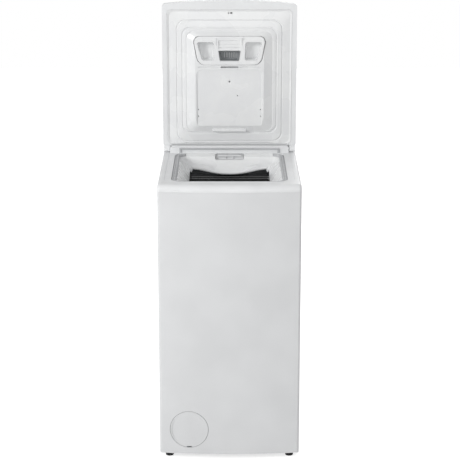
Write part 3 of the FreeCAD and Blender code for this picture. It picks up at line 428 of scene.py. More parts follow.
def tone(tree, share, dark, light, start=0.35, end=0.65):
    """A colour between two hex colours as share goes from start to end."""
    spread = add(tree, "ShaderNodeMapRange", {"Value": share, "From Min": start, "From Max": end})
    mix = add(tree, "ShaderNodeMix", {"Factor": spread.outputs[0], 6: linear(dark), 7: linear(light)},
              data_type="RGBA")
    return mix.outputs[2]


def shine(tree, share, low, high):
    """A roughness between low and high that follows a share."""
    spread = add(tree, "ShaderNodeMapRange", {"Value": share, "From Min": 0.3, "From Max": 0.7,
                                              "To Min": low, "To Max": high})
    return spread.outputs[0]


def relief(tree, shader, height, depth):
    """Bump of depth millimetres from a height between 0 and 1."""
    bump = add(tree, "ShaderNodeBump", {"Height": height, "Distance": depth * MM, "Strength": 1.0})
    tree.links.new(bump.outputs[0], shader.inputs["Normal"])


def moulded(name, dark, light, roughness, pitch, depth, spread=0.06, drift=60, ior=1.5, coat=0.0):
    """A moulded or painted surface: fine grain, and slow drifts of tone and shine."""
    material, tree, shader = finish(name, roughness, ior=ior, coat=coat)
    place = object_place(tree)
    slow = noise(tree, place, drift)
    tree.links.new(tone(tree, slow, dark, light), shader.inputs["Base Color"])
    tree.links.new(shine(tree, slow, roughness - spread, roughness + spread), shader.inputs["Roughness"])
    relief(tree, shader, noise(tree, place, pitch, 3.0), depth)
    return material


def enamelled_steel():
    """Powder-coated sheet: an even pale grey-white whose faint orange peel breaks up reflections."""
    return moulded("enamelled_steel", "d9dadb", "dedfe0", 0.38, 2.2, 0.012, spread=0.03, drift=140)


def moulded_abs():
    """Spark-eroded ABS of the frame, lid and console: satin white with a fine, even grain."""
    return moulded("spark_eroded_white_abs", "e3e4e5", "e9eaeb", 0.42, 0.9, 0.014, drift=90)


def glossy_polypropylene():
    """Polished polypropylene of the inner lid, collar and box: bright, smooth, softly shiny."""
    return moulded("polished_white_polypropylene", "e6e7e8", "ebecec", 0.27, 6.0, 0.02, drift=80,
                   spread=0.04, coat=0.15)


def grey_seal_rubber():
    """Pale grey EPDM of the door seal: matt, faintly dusty, with fine flow lines."""
    return moulded("grey_epdm_seal", "b7b9bb", "c1c2c4", 0.72, 0.5, 0.02, drift=14)


def black_rubber():
    """Wet-look black EPDM of the bellows: nearly black, with tight bright highlights."""
    return moulded("black_epdm_bellows", "030304", "070708", 0.2, 1.4, 0.004, drift=20, spread=0.04,
                    ior=1.65, coat=0.8)


def matt_black_rubber():
    """Black moulded rubber of belts, hoses and feet: matt charcoal with dust in its grain."""
    return moulded("black_moulded_rubber", "19191a", "2a2a2b", 0.62, 0.6, 0.03, drift=9)


def grey_moulding(name, dark, light):
    """Glass-filled grey polypropylene: mid-gloss with visible flow marks."""
    return moulded(name, dark, light, 0.48, 1.1, 0.03, drift=35, spread=0.08)


def dark_window():
    """Smoked acrylic over the display: near-black and mirror-smooth."""
    return moulded("smoked_acrylic_window", "0a0b0d", "101114", 0.09, 12.0, 0.004, spread=0.02, coat=0.5)


def solder_mask():
    """Green solder mask on the circuit board: glossy green with a woven glass relief."""
    return moulded("green_solder_mask", "0d4a2a", "145a34", 0.3, 0.7, 0.02, drift=8)


def cast_concrete():
    """Cast concrete ballast: grey, pitted and dusty, drawn coarse enough to see."""
    return moulded("cast_concrete_ballast", "827f79", "a09d96", 0.9, 3.0, 0.6, spread=0.04, drift=12)


def galvanised_sheet():
    """Hot-dip galvanised sheet: faint crystalline spangle of lighter and darker zinc, 9 mm across."""
    material, tree, shader = finish("galvanised_sheet", 0.42, metallic=1.0)
    place = object_place(tree)
    cells = add(tree, "ShaderNodeTexVoronoi", {"Vector": place, "Scale": 1 / (9 * MM)})
    grey = add(tree, "ShaderNodeSeparateColor", {"Color": cells.outputs["Color"]}).outputs[0]
    tree.links.new(tone(tree, grey, "b2b6b9", "bfc3c6", 0.0, 1.0), shader.inputs["Base Color"])
    tree.links.new(shine(tree, grey, 0.4, 0.48), shader.inputs["Roughness"])
    relief(tree, shader, noise(tree, place, 1.5, 3.0), 0.02)
    return material


def zinc_plate():
    """Bright zinc plating on screws, springs and rods: pale metal, slightly cloudy."""
    material, tree, shader = finish("bright_zinc_plate", 0.3, metallic=1.0)
    place = object_place(tree)
    cloud = noise(tree, place, 5)
    tree.links.new(tone(tree, cloud, "b3b7ba", "cdd0d2"), shader.inputs["Base Color"])
    tree.links.new(shine(tree, cloud, 0.24, 0.4), shader.inputs["Roughness"])
    relief(tree, shader, noise(tree, place, 0.8, 3.0), 0.01)
    return material


def brushed_stainless():
    """Rolled stainless drum: grain runs round the drum, so highlights stretch across it."""
    material, tree, shader = finish("brushed_stainless_drum", 0.24, metallic=1.0)
    lines = noise(tree, object_place(tree, stretch=(1, 0.04, 0.04)), 0.6, 3.0)
    tree.links.new(tone(tree, lines, "a7a9ac", "c6c8ca"), shader.inputs["Base Color"])
    tree.links.new(shine(tree, lines, 0.18, 0.34), shader.inputs["Roughness"])
    relief(tree, shader, lines, 0.01)
    return material


def cast_aluminium():
    """Sand-cast aluminium of the pulley and motor end: grainy, dull silver."""
    material, tree, shader = finish("sand_cast_aluminium", 0.5, metallic=1.0)
    place = object_place(tree)
    grain = noise(tree, place, 1.6, 4.0)
    tree.links.new(tone(tree, grain, "9da0a3", "b7babc"), shader.inputs["Base Color"])
    tree.links.new(shine(tree, grain, 0.42, 0.6), shader.inputs["Roughness"])
    relief(tree, shader, grain, 0.12)
    return material


def bare_floor():
    """Pale studio floor paint: matt white with a faint mottle, lit a little from within."""
    material = moulded("pale_studio_floor", "dadada", "dfdfdf", 0.8, 30, 0.02, drift=400)
    tree = material.node_tree
    shader = tree.nodes["Principled BSDF"]
    seen = add(tree, "ShaderNodeLightPath", {}).outputs["Is Camera Ray"]
    glow = add(tree, "ShaderNodeMath", {0: seen, 1: 0.7}, operation="MULTIPLY").outputs[0]
    tree.links.new(glow, shader.inputs["Emission Strength"])
    shader.inputs["Emission Color"].default_value = (1, 1, 1, 1)
    return material


def printed_grey():
    """Grey screen print on the fascia: flat ink with a slightly grainy edge of gloss."""
    return moulded("grey_screen_print", "6d7378", "7b8186", 0.5, 0.4, 0.01, drift=6)


FINISHES = {
    "body_paint": enamelled_steel(), "white_plastic": moulded_abs(),
    "gloss_white": glossy_polypropylene(), "grey_seal": grey_seal_rubber(),
    "black_rubber": matt_black_rubber(), "zinc_steel": zinc_plate(),
    "stainless": brushed_stainless(),
    "grey_plastic": grey_moulding("grey_glass_filled_pp", "606468", "70747a"),
    "dark_window": dark_window(), "board_green": solder_mask(),
    "tub_plastic": grey_moulding("filled_polypropylene_tub", "989c9f", "a6aaac"),
    "concrete": cast_concrete(), "cast_alu": cast_aluminium(),
    "blue_grey": grey_moulding("blue_grey_polypropylene", "8792a0", "97a2ae"),
}
SHEET_ZINC = galvanised_sheet()
BELLOWS_RUBBER = black_rubber()
PRINT = printed_grey()
SHEET_NODES = ("base_tray", "spring_rails", "rear_panel")


def dress(piece, material):
    """Give a piece one material."""
    piece.data.materials.clear()
    piece.data.materials.append(material)
    return piece


def finished(piece, body, slot, *nodes, material=None):
    """Give a piece its finish, its body and the CAD nodes that it stands for."""
    dress(piece, material or FINISHES[slot])
    if body:
        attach(piece, body)
    if nodes:
        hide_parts(*nodes)
    return piece


def dress_frame():
    """Every CAD node takes the finish of its material slot."""
    slots = {part["node"]: part["material_slot"] for part in frame["record"]["subparts"]}
    for name, node in frame["nodes"].items():
        dress(node, SHEET_ZINC if name in SHEET_NODES else FINISHES[slots[name]])
        only(node)
        bpy.ops.object.shade_smooth_by_angle(angle=math.radians(30))


# ---------------------------------------------------------------- inside of the lid


def lid_outline(half, near, far, corner, rise):
    """An outline on the open lid; near and far are from the hinge, and rise is towards the front."""
    return half * MM, from_hinge(near), from_hinge(far), corner * MM, LID_FACE - rise * MM


def narrow_towards_foot(piece, low, high, least):
    """Draw each level of a piece in towards its middle, evenly from the top down to the least share."""
    edit(piece)
    levels = sorted({round(v.co.z, 5) for v in bmesh.from_edit_mesh(piece.data).verts})
    for level in levels:
        pick("VERT", lambda v: abs(v.co.z - level) < 6e-6)
        share = least + (1 - least) * (level - low) / (high - low)
        bpy.ops.transform.resize(value=(share, 1, 1), center_override=(0, 0, level))
    done()


def pan_holes(field):
    """Tools for the holes in the pan's sunken field, and for the dimple round the middle one."""
    tools = []
    for across, up, radius in ((0, 209, 2.6), (24, 167, 1.5), (-93, 125, 1.7), (93, 125, 1.7),
                               (-93, 105, 1.7), (93, 105, 1.7)):
        tools.append(rod("hole_tool", "y", radius * MM, PAN_FACE - 10 * MM, field + 30 * MM,
                         (across * MM, from_hinge(up)), 20))
    profile = [(0, -4), (9, -4), (9, -0.2), (4, 1.2), (0, 1.2)]
    dimple = turned("dimple_tool", [(radius * MM, field + sunk * MM) for radius, sunk in profile], "y",
                    (0, from_hinge(209)), 32)
    return [dimple] + tools


def lid_inner_panel():
    """Inner lid: a dished border, a seal groove, stepped shoulders and a raised pan with its details."""
    half = (liner_high.x - liner_low.x) / 2 / MM
    near = (liner_low.z - hinge.z) / MM
    far = (liner_high.z - hinge.z) / MM
    rise = (LID_FACE - PAN_FACE) / MM
    steps = [
        (half, near, far, 12.5, -3.0), (half, near, far, 12.5, -0.6),
        (half - 1.2, near + 1, far - 1.2, 12, -0.3), (half - 6, near + 2, far - 6, 16, -2.6),
        (163, 20, 397, 30, -0.2), (159, 24, 393, 29, 0.4),
        (157.5, 25.5, 391.5, 28, -0.9), (155.5, 27.5, 389.5, 27, -0.9),
        (154, 29, 388, 26, 1.7), (150, 32, 385, 25, 2.2),
        (143, 50, 371, 25, 3.6), (141.5, 52, 369.5, 25, 2.6),
        (139.5, 54, 367.5, 25, 2.6), (138, 55, 366, 25, 4.4),
        (130, 56, 361, 24, 6.4), (128.5, 57, 359, 24, 5.8), (126.5, 57.5, 357.5, 23, 6.2),
        (105, 80, 347, 20, rise - 1.2), (102.5, 82.5, 345, 19, rise), (101, 84, 343, 18, rise),
    ]
    panel = lofted("lid_inner_panel", [lid_outline(*step) for step in steps], UPRIGHT, capped=True)
    field = [(99, 249, 16, 0), (98.2, 244, 16, -2.8), (97, 234, 15, -4.4), (95, 222, 14, -5.2)]
    rows = [lid_outline(half, 50, far, corner, rise + 2 + sunk) for half, far, corner, sunk in field]
    carve(panel, lofted("field_tool", rows, UPRIGHT, capped=True))
    foot, top, side = tray_low.z, tray_high.z + 0.4 * MM, tray_high.x + 0.8 * MM
    rows = [(side, foot, top, 22 * MM, PAN_FACE - 10 * MM), (side, foot, top, 22 * MM, PAN_FACE + 40 * MM)]
    well = lofted("well_tool", rows, UPRIGHT, capped=True)
    narrow_towards_foot(well, foot, top, TRAY_TAPER)
    carve(panel, well)
    carve(panel, *pan_holes(PAN_FACE + 3.2 * MM))

    def slot(left, right, near, far, face, sunk, corner=0):
        """Cut a slot through the face at a given Y, sunk so many millimetres behind it."""
        carve(panel, block("slot_tool", (left * MM, face - 10 * MM, from_hinge(near)),
                           (right * MM, face + sunk * MM, from_hinge(far)), corner, "y"))

    slot(-26.5, 26.5, 250.4, 255.4, PAN_FACE, 16, 1.9)
    for side in (-1, 1):
        left, right = sorted((side * 31, side * 92))
        slot(left, right, 250.8, 254.6, PAN_FACE, 3, 1.6)
        left, right = sorted((side * 69, side * 131))
        slot(left, right, 20.4, 22.6, LID_FACE, 2.2)
        outer = right - 2 if side > 0 else left
        slot(outer, outer + 2, 19, 22.6, LID_FACE, 2.2)
    for left, right in ((-4.5, -1), (2, 9)):
        slot(left, right, 409, 413, LID_FACE, 20, 1.2)
    soften(panel, 0.45, 2, 35, crease=16)
    return finished(panel, "lid", "gloss_white", "lid_liner")


def finger_ledge():
    """Tab across the foot of the pan, and the two stops beside the hinge slots."""
    tab = block("pan_foot_tab", (-50 * MM, LID_FACE - 14.5 * MM, from_hinge(57.5)),
                (50 * MM, LID_FACE - 3 * MM, from_hinge(63.5)), 2.4, "y")
    edit(tab)
    pick("VERT", lambda v: v.co.y > LID_FACE - 6 * MM)
    bpy.ops.transform.resize(value=(1.05, 1, 1.5), center_override=(0, LID_FACE, from_hinge(60.5)))
    done()
    soften(tab, 1.0)
    finished(tab, "lid", "gloss_white")
    for side, name in ((-1, "left"), (1, "right")):
        left, right = sorted((side * 134, side * 150))
        stop = block(f"hinge_stop_{name}", (left * MM, LID_FACE - 0.6 * MM, from_hinge(19)),
                     (right * MM, LID_FACE + 1 * MM, from_hinge(25)), 1.5, "y")
        soften(stop, 0.5)
        finished(stop, "lid", "gloss_white")


def tray_pocket(name, top_sides, foot_sides, foot, top, sunk, corner):
    """A tool for a pocket that narrows towards its foot and inwards; all its sizes are in mm."""
    left, right = top_sides
    centre = (left + right) / 2 * MM
    mid = from_hinge((foot + top) / 2)
    tool = block(name, (left * MM, tray_low.y - 4 * MM, from_hinge(foot)),
                 (right * MM, tray_low.y + sunk * MM, from_hinge(top)))
    edit(tool)
    for side, shift in ((-1, foot_sides[0] - left), (1, foot_sides[1] - right)):
        pick("VERT", lambda v: (v.co.x - centre) * side > 0 and v.co.z < mid)
        bpy.ops.transform.translate(value=(shift * MM, 0, 0))
    pick("EDGE", lambda edge: along(edge)[1] > 0.9)
    bpy.ops.mesh.bevel(offset=corner * MM, segments=5, affect="EDGES")
    pick("FACE", lambda inner: inner.normal.y > 0.9)
    bpy.ops.transform.resize(value=(0.86, 1, 0.84), center_override=(centre, 0, mid))
    done()
    return tool


def detergent_box():
    """Detergent box: a tapered bowl with two side pockets and a middle one under a siphon cap."""
    face = tray_low.y
    back = tray_high.y
    low = tray_low.z + 0.4 * MM
    high = tray_high.z - 0.4 * MM
    insets = [(6, 4, 1, 20, back), (3, 2, 0, 20, back - 4 * MM), (1, 0, 0, 22, face + 2 * MM),
              (2.2, 1.2, 1.2, 21, face + 0.4 * MM), (4.5, 3.5, 3.5, 19, face)]
    rows = [(tray_high.x - side * MM, low + foot * MM, high - top * MM, corner * MM, level)
            for side, foot, top, corner, level in insets]
    bowl = lofted("detergent_box", rows, UPRIGHT, capped=True)
    narrow_towards_foot(bowl, low, high, TRAY_TAPER)
    carve(bowl, tray_pocket("left_tool", (-98, -46), (-82, -44), 272, 328, 27, 7),
          tray_pocket("right_tool", (46, 98), (44, 82), 272, 328, 27, 7),
          tray_pocket("middle_tool", (-34, 34), (-29, 29), 271, 303, 26, 3),
          tray_pocket("cap_seat", (-36, 36), (-34, 34), 304, 334, 5, 3))
    for side in (-1, 1):
        left, right = sorted((side * 120, side * 41))
        carve(bowl, block("shelf_tool", (left * MM, face - 4 * MM, from_hinge(333)),
                          (right * MM, face + 2.2 * MM, from_hinge(350))))
    for side in (-1, 1):
        carve(bowl, block("divider_slot", ((side * 38.5 - 0.6) * MM, face - 10 * MM, from_hinge(318)),
                          ((side * 38.5 + 0.6) * MM, face + 3 * MM, from_hinge(340))))
    soften(bowl, 0.9, 3, 30)
    finished(bowl, "dispenser", "gloss_white", "dispenser_tray")
    siphon_parts(face, back)


def siphon_parts(face, back):
    """Ribbed cap and stem of the siphon, and the grey liner of the pocket under it; that grey is partly
    painted shade which darkens the pocket.
    """
    half = 33.6 * MM
    bars = [block("bar", (-half, face + proud * MM, from_hinge(near)),
                  (half, face + 4.8 * MM, from_hinge(far)), 1.2, "y", 3)
            for near, far, proud in ((304.6, 310.4, 1.2), (312, 319.4, 2.2), (321, 333.4, 3))]
    plate = block("plate", (-half, face + 4.2 * MM, from_hinge(304.4)),
                  (half, face + 7.2 * MM, from_hinge(333.6)), 1.5, "y", 3)
    cap = weld(plate, *bars)
    cap.name = "siphon_cap_cover"
    soften(cap, 0.5)
    finished(cap, "dispenser", "gloss_white")
    start, end = face + 8 * MM, back - 3 * MM
    profile = [(4 * MM, start), (6.2 * MM, start), (5.6 * MM, end), (4 * MM, end), (4 * MM, start)]
    stem = turned("siphon_stem_tube", profile, "y", (0, from_hinge(319)), 32)
    soften(stem, 0)
    finished(stem, "dispenser", "blue_grey", "siphon_cap")
    grate = tray_pocket("pocket_grate", (-33, 33), (-28, 28), 271.5, 302.5, 24, 3)
    carve(grate, tray_pocket("grate_hollow", (-31.5, 31.5), (-26.5, 26.5), 273, 301, 21.5, 2.5),
          block("grate_top", (-50 * MM, face - 10 * MM, from_hinge(260)),
                (50 * MM, face + 2.5 * MM, from_hinge(310))))
    slots = [block("slot", (left * MM, face + 18 * MM, from_hinge(279)),
                   ((left + 3) * MM, face + 26 * MM, from_hinge(295))) for left in range(-16, 17, 7)]
    carve(grate, *slots)
    soften(grate, 0.3, 2)
    # The liner's grey is partly its own moulded grey and partly painted shade that darkens the middle
    # pocket.
    liner_grey_and_pocket_shade = grey_moulding("grey_pocket_lining_and_painted_shade", "8d9092", "999c9e")
    finished(grate, "dispenser", "blue_grey", material=liner_grey_and_pocket_shade)


# ---------------------------------------------------------------- loading opening


def round_throat(side, front, rear, corner, rise):
    """An outline that stands outside each side of the throat and above its lip by so many mm."""
    return (throat_half + side * MM, throat_front - front * MM, throat_rear + rear * MM, corner * MM,
            THROAT_LIP + rise * MM)


def bow(across):
    """How far the rear lip's bulge goes at a place across the machine: 1 in the middle, 0 at its ends."""
    bulge_half = 118 * MM
    return math.cos(min(abs(across) / bulge_half, 1.0) * math.pi / 2) ** 1.3


def strips_across():
    """The left and right of each 10 mm strip across the opening, in metres."""
    return [(left * MM, (left + 10) * MM) for left in range(-130, 130, 10)]


def jet_window():
    """A tool for the window that the water jets are seen through."""
    return block("window_tool", (-43 * MM, collar_high.y - 34.7 * MM, collar_high.z - 19 * MM),
                 (43 * MM, collar_high.y + 5.3 * MM, collar_high.z - 1.5 * MM), 3.5, "y")


def white_collar():
    """Funnel from the seal to the throat.

    The rear wall climbs to the rim, and its lip bulges forward and hangs lower in the middle.
    """
    flange = (seal_low.z - THROAT_LIP) / MM - 0.6
    rows = [(42.2, 48.7, 31.5, 31.8, flange), (28.5, 35, 28.5, 22, flange),
            (27.3, 33.8, 28.1, 21, flange - 1.4), (23.5, 28.8, 27, 20, 32.5),
            (16, 19.5, 23.2, 18, 21.5), (8.5, 10.5, 14.5, 15, 11), (2.5, 3, 4.5, 13, 3.2),
            (0, 0, 0, 12, 0), (-0.7, -0.7, -0.7, 11.5, -1.6), (-0.2, -0.2, -0.2, 12, -3.4),
            (1.5, 1.5, 1.5, 13, -4.2)]
    collar = lofted("loading_funnel", [round_throat(*row) for row in rows], FLAT, cuts=23)
    edit(collar)
    flange_foot = seal_low.z - 5.6 * MM
    for near, far, lift, push in ((16, 24.2, 4.5, -2.5), (5.5, 16, 9.5, -5.5), (1.9, 5.5, 13.4, -8),
                                  (-1.5, 1.9, 15, -9)):
        for left, right in strips_across():
            share = bow((left + right) / 2)
            pick("VERT", lambda v: left <= v.co.x < right and v.co.z < flange_foot
                 and near * MM < v.co.y - throat_rear <= far * MM)
            bpy.ops.transform.translate(value=(0, push * share * MM, lift * (1 - share) * MM))
    for near, far, lift in ((-25, -1.5, 9), (-48, -25, 3)):
        pick("VERT", lambda v: near * MM < v.co.y - throat_rear <= far * MM
             and abs(v.co.x) > throat_half - 5 * MM and v.co.z < THROAT_LIP + 6 * MM)
        bpy.ops.transform.translate(value=(0, 0, lift * MM))
    done()
    modify(collar, "SUBSURF", levels=1, render_levels=1)
    modify(collar, "SOLIDIFY", thickness=2.2 * MM, offset=1)
    carve(collar, jet_window())
    soften(collar, 0, flowing=True)
    finished(collar, "cabinet", "gloss_white", "loading_collar")
    riser_half = 130.8 * MM
    riser = block("funnel_riser", (-riser_half, collar_high.y - 3.2 * MM, seal_low.z - 2.6 * MM),
                  (riser_half, collar_high.y - 0.2 * MM, collar_high.z))
    carve(riser, jet_window())
    soften(riser, 0.35, 2, 40)
    finished(riser, "cabinet", "gloss_white")


def door_seal():
    """Door seal: a soft hollow bead round the sides, and the strip that closes the rear."""
    profile = [(0, 0), (0, 7.4), (1.2, 8.8), (3.2, 9.5), (5.4, 9.2), (6.6, 8.2), (7.6, 8.2),
               (8.8, 9.1), (10.8, 9.3), (12.6, 8.4), (13.6, 6.6), (13.6, 0.2)]
    width = profile[-1][0]
    rows = [(seal_high.x - (inset + 0.1) * MM, seal_low.y + inset * MM,
             collar_high.y - inset / width * 3.2 * MM, (31.7 - inset * 0.7) * MM, seal_low.z + level * MM)
            for inset, level in profile]
    bead = lofted("door_seal_bead", rows, FLAT, closed=True)
    rear_start, corner_start = 100 * MM, 131.1 * MM     # the bead ends at the rear corners
    edit(bead)
    bpy.ops.mesh.bisect(plane_co=(0, rear_start, 0), plane_no=(0, 1, 0), clear_inner=False)
    pick("FACE", lambda f: f.calc_center_median().y > rear_start
         and abs(f.calc_center_median().x) < corner_start)
    bpy.ops.mesh.delete(type="FACE")
    bpy.ops.mesh.select_all(action="DESELECT")
    bpy.ops.mesh.select_mode(type="EDGE")
    bpy.ops.mesh.select_non_manifold()
    bpy.ops.mesh.fill()
    bpy.ops.mesh.select_all(action="SELECT")
    bpy.ops.mesh.normals_make_consistent(inside=False)
    done()
    soften(bead, 0)
    finished(bead, "cabinet", "grey_seal", "door_gasket")
    strip = block("door_seal_rear_strip", (-150 * MM, seal_high.y - 2.6 * MM, hinge.z),
                  (150 * MM, seal_high.y, seal_high.z), 1.2, "x", 4)
    for side in (-1, 1):
        left, right = sorted((side * 145, side * 151.5))
        weld(strip, block("leg", (left * MM, seal_high.y - 3 * MM, seal_low.z + 6 * MM),
                          (right * MM, seal_high.y - 0.2 * MM, seal_high.z - 0.3 * MM), 1.2, "z", 4))
    soften(strip, 0)
    finished(strip, "cabinet", "grey_seal")


def rubber_bellows():
    """Black bellows from under the lip to the tub's mouth, with three soft ridges."""
    top = bellows_high.z
    foot = bellows_low.z
    top_rise = (top - THROAT_LIP) / MM
    drop = (top - foot) / MM - 2
    rows = [round_throat(2.5, 2.5, 2.5, 13.5, -3.5), round_throat(1.5, 1.5, 1.5, 13, top_rise)]
    count = 48
    for step in range(1, count + 1):
        below = drop * step / count
        ridge = sum(math.exp(-((below - place) / 1.9) ** 2) for place in (9, 15.5, 27))
        swell = 1.5 + 4.2 * min(step / count * 6, 1) - 2 * ridge
        rows.append(round_throat(swell, swell, swell, 12.25 + swell / 2, top_rise - below))
    rows.append(round_throat(5.5, 5.5, 5.5, 15, top_rise - drop - 1.5))
    bellows = lofted("rubber_bellows", rows, FLAT)
    edit(bellows)
    for left, right in strips_across():
        rise = 17 * (1 - bow((left + right) / 2))
        for under, part in ((-5.5, 1.0), (-8.5, 0.8), (-11.5, 0.35)):
            pick("VERT", lambda v: left <= v.co.x < right and v.co.y > throat_rear - 3 * MM
                 and under * MM < v.co.z - THROAT_LIP <= (under + 3) * MM)
            bpy.ops.transform.translate(value=(0, 0, rise * part * MM))
    done()
    modify(bellows, "SOLIDIFY", thickness=1.4 * MM, offset=1)
    only(bellows)
    bpy.ops.object.shade_smooth()
    finished(bellows, None, "black_rubber", "bellows_seal", material=BELLOWS_RUBBER)
    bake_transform(bellows)


def hinge_cover():
    """White strip on the raised step that closes the gap under the open lid."""
    strip = block("hinge_cover_strip", (-176 * MM, hinge.y - 6.5 * MM, rim_high.z - 0.5 * MM),
                  (176 * MM, rim_high.y - 6 * MM, rim_high.z + 5.2 * MM), 1.2, "x", 3)
    soften(strip, 0.3, 2)
    finished(strip, "cabinet", "white_plastic")


def hanging_springs():
    """Four close-wound springs with hooked ends, from the rails to the tub."""
    low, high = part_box("suspension_springs")
    radius, wire, turns, per_turn = 7.7 * MM, 1.25 * MM, 26, 10
    outside, coil_end, hook_base, hook_reach = 9 * MM, 14 * MM, 7 * MM, 5.5 * MM
    steps = turns * per_turn
    nodes = ("suspension_springs",)
    for side, side_name in ((-1, "left"), (1, "right")):
        for place, end in (("front", low.y + outside), ("rear", high.y - outside)):
            centre = Vector((side * (high.x - outside), end, 0))
            coil_length = high.z - low.z - 2 * coil_end
            coil = [centre + Vector((radius * math.cos(step / per_turn * math.tau),
                                     radius * math.sin(step / per_turn * math.tau),
                                     low.z + coil_end + coil_length * step / steps))
                    for step in range(steps + 1)]
            hooks = []
            for direction, limit in ((-1, low.z), (1, high.z)):
                base = limit - direction * hook_base
                hooks.append([centre + Vector((radius * 0.4 * math.cos(turn), 0,
                                               base + direction * hook_reach * math.sin(turn)))
                              for turn in (2.8, 2.2, 1.6, 1.0, 0.4, -0.2)])
            spring = swept(f"spring_{place}_{side_name}", hooks[0][::-1] + coil + hooks[1], wire, 1)
            finished(spring, None, "zinc_steel", *nodes)
            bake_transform(spring)
            nodes = ()


def drain_bellows():
    """Corrugated hose between the sump and the pump, with plain cuffs."""
    low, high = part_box("sump_hose")
    spot = ((low.x + high.x) / 2, (low.y + high.y) / 2)
    outer = (high.x - low.x) / 2
    inner = outer - 2.8 * MM
    cuff, rings, per_ring = 9 * MM, 6, 6
    start = low.z + cuff + 1 * MM
    length = high.z - low.z - 2 * (cuff + 1 * MM)
    steps = rings * per_ring
    profile = [(inner, low.z), (outer, low.z), (outer, low.z + cuff)]
    for step in range(steps + 1):
        swell = 1.2 * MM * (math.cos(step / per_ring * math.tau) - 1)
        profile.append((outer + swell, start + length * step / steps))
    profile += [(outer, high.z - cuff), (outer, high.z), (inner, high.z), (inner, low.z)]
    hose = turned("corrugated_sump_hose", profile, "z", spot, 40)
    soften(hose, 0)
    finished(hose, None, "black_rubber", "sump_hose")
    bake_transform(hose)


# ---------------------------------------------------------------- drum


def drum_sheet():
    """Perforated drum: rows of holes in the rolled sheet, each with a dished edge; the holes are not cut but
    painted near-black as the painted shade seen through them.
    """
    material, tree, shader = finish("perforated_stainless_drum", 0.24, metallic=1.0)
    pitch = 14.5 * MM
    low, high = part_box("drum_shell")
    rounds = round(math.tau * (high.z - low.z) / 2 / pitch)
    half = (0.5, 0.5, 0)
    hole, rim = 0.12, 0.24      # as shares of the pitch

    def sums(operation, one, other):
        """The result of one operation on two numbers."""
        return add(tree, "ShaderNodeMath", {0: one, 1: other}, operation=operation).outputs[0]

    def vector(operation, sockets, output=0):
        """The result of one operation on vectors."""
        return add(tree, "ShaderNodeVectorMath", sockets, operation=operation).outputs[output]

    place = add(tree, "ShaderNodeTexCoord", {}).outputs["Object"]
    parts = add(tree, "ShaderNodeSeparateXYZ", {"Vector": place}).outputs
    angle = sums("ARCTAN2", sums("SUBTRACT", parts[1], drum_axis.y), sums("SUBTRACT", parts[2], drum_axis.z))
    turns = sums("MULTIPLY", angle, rounds / math.tau)
    across = sums("MULTIPLY", parts[0], 1 / pitch)
    grid = add(tree, "ShaderNodeCombineXYZ", {"X": turns, "Y": across}).outputs[0]
    cell = vector("FRACTION", {0: vector("ADD", {0: grid, 1: half})})
    reach = vector("LENGTH", {0: vector("SUBTRACT", {0: cell, 1: half})}, "Value")
    # The near-black inside each hole is painted shade, standing for the dark gap behind the sheet.
    tree.links.new(tone(tree, reach, "070708", "babcbe", hole, hole + 0.02), shader.inputs["Base Color"])
    dish = add(tree, "ShaderNodeMapRange", {"Value": reach, "From Min": hole, "From Max": rim}).outputs[0]
    relief(tree, shader, dish, 0.4)
    dress(frame["nodes"]["drum_shell"], material)


# ---------------------------------------------------------------- front and rear


def filter_door():
    """Round cover in the front panel, with a soft edge and a notch at its foot."""
    cover = copied(frame["nodes"]["filter_cover"], "filter_door")
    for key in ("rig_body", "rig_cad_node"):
        del cover[key]
    edit(cover)
    bpy.ops.mesh.remove_doubles(threshold=1e-5)
    bpy.ops.mesh.dissolve_limited(angle_limit=math.radians(1))
    done()
    soften(cover, 0.5, 2, 50)
    finished(cover, "filter_access", "body_paint", "filter_cover", material=FINISHES["body_paint"])


def rear_sheet():
    """Galvanised rear sheet with a pressed field and a louvred vent."""
    low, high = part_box("rear_panel")
    face = high.y
    sheet = block("rear_sheet", low, high)
    mounts = {mount["name"]: mount["pos_m"] for mount in frame["record"]["mounts"]}
    gland_low, gland_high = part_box("power_inlet")
    gland = (gland_low + gland_high) / 2
    for place, radius in ((mounts["water_inlet"], 15), (mounts["drain_outlet"], 12), (gland, 9)):
        across, _, height = place
        carve(sheet, rod("hole_tool", "y", radius * MM, face - 10 * MM, face + 10 * MM, (across, height)))
    finished(soften(sheet, 0.3, 2), "cabinet", "zinc_steel", "rear_panel", material=SHEET_ZINC)
    rows = [(150, 85, 660, 30, 0.2), (147, 88, 657, 28, 2.1), (145, 90, 655, 27, 2.8),
            (130, 105, 640, 20, 2.8), (128, 107, 638, 19, 2.2), (125, 110, 635, 18, 0.2)]
    rows = [(half * MM, foot * MM, top * MM, corner * MM, face + proud * MM)
            for half, foot, top, corner, proud in rows]
    embossed = modify(lofted("rear_pressing", rows, UPRIGHT), "SOLIDIFY", thickness=0.6 * MM, offset=-1)
    finished(soften(embossed, 0), "cabinet", "zinc_steel", material=SHEET_ZINC)
    height, half, pitch = 735 * MM, 60 * MM, 9.5 * MM
    louvre = block("rear_louvre_1", (-half, face + 0.2 * MM, height - 3 * MM),
                   (half, face + 4.2 * MM, height + 3 * MM), 2.4, "x", 4)
    edit(louvre)
    pick("VERT", lambda v: v.co.y > face + 2 * MM and v.co.z < height)
    bpy.ops.transform.resize(value=(0.94, 1, 1), center_override=(0, face, height))
    done()
    soften(louvre, 0.3, 2)
    copies = [copied(louvre, f"rear_louvre_{row + 1}", (0, 0, -pitch * row)) for row in range(1, 8)]
    for piece in [louvre] + copies:
        finished(piece, "cabinet", "zinc_steel", material=SHEET_ZINC)


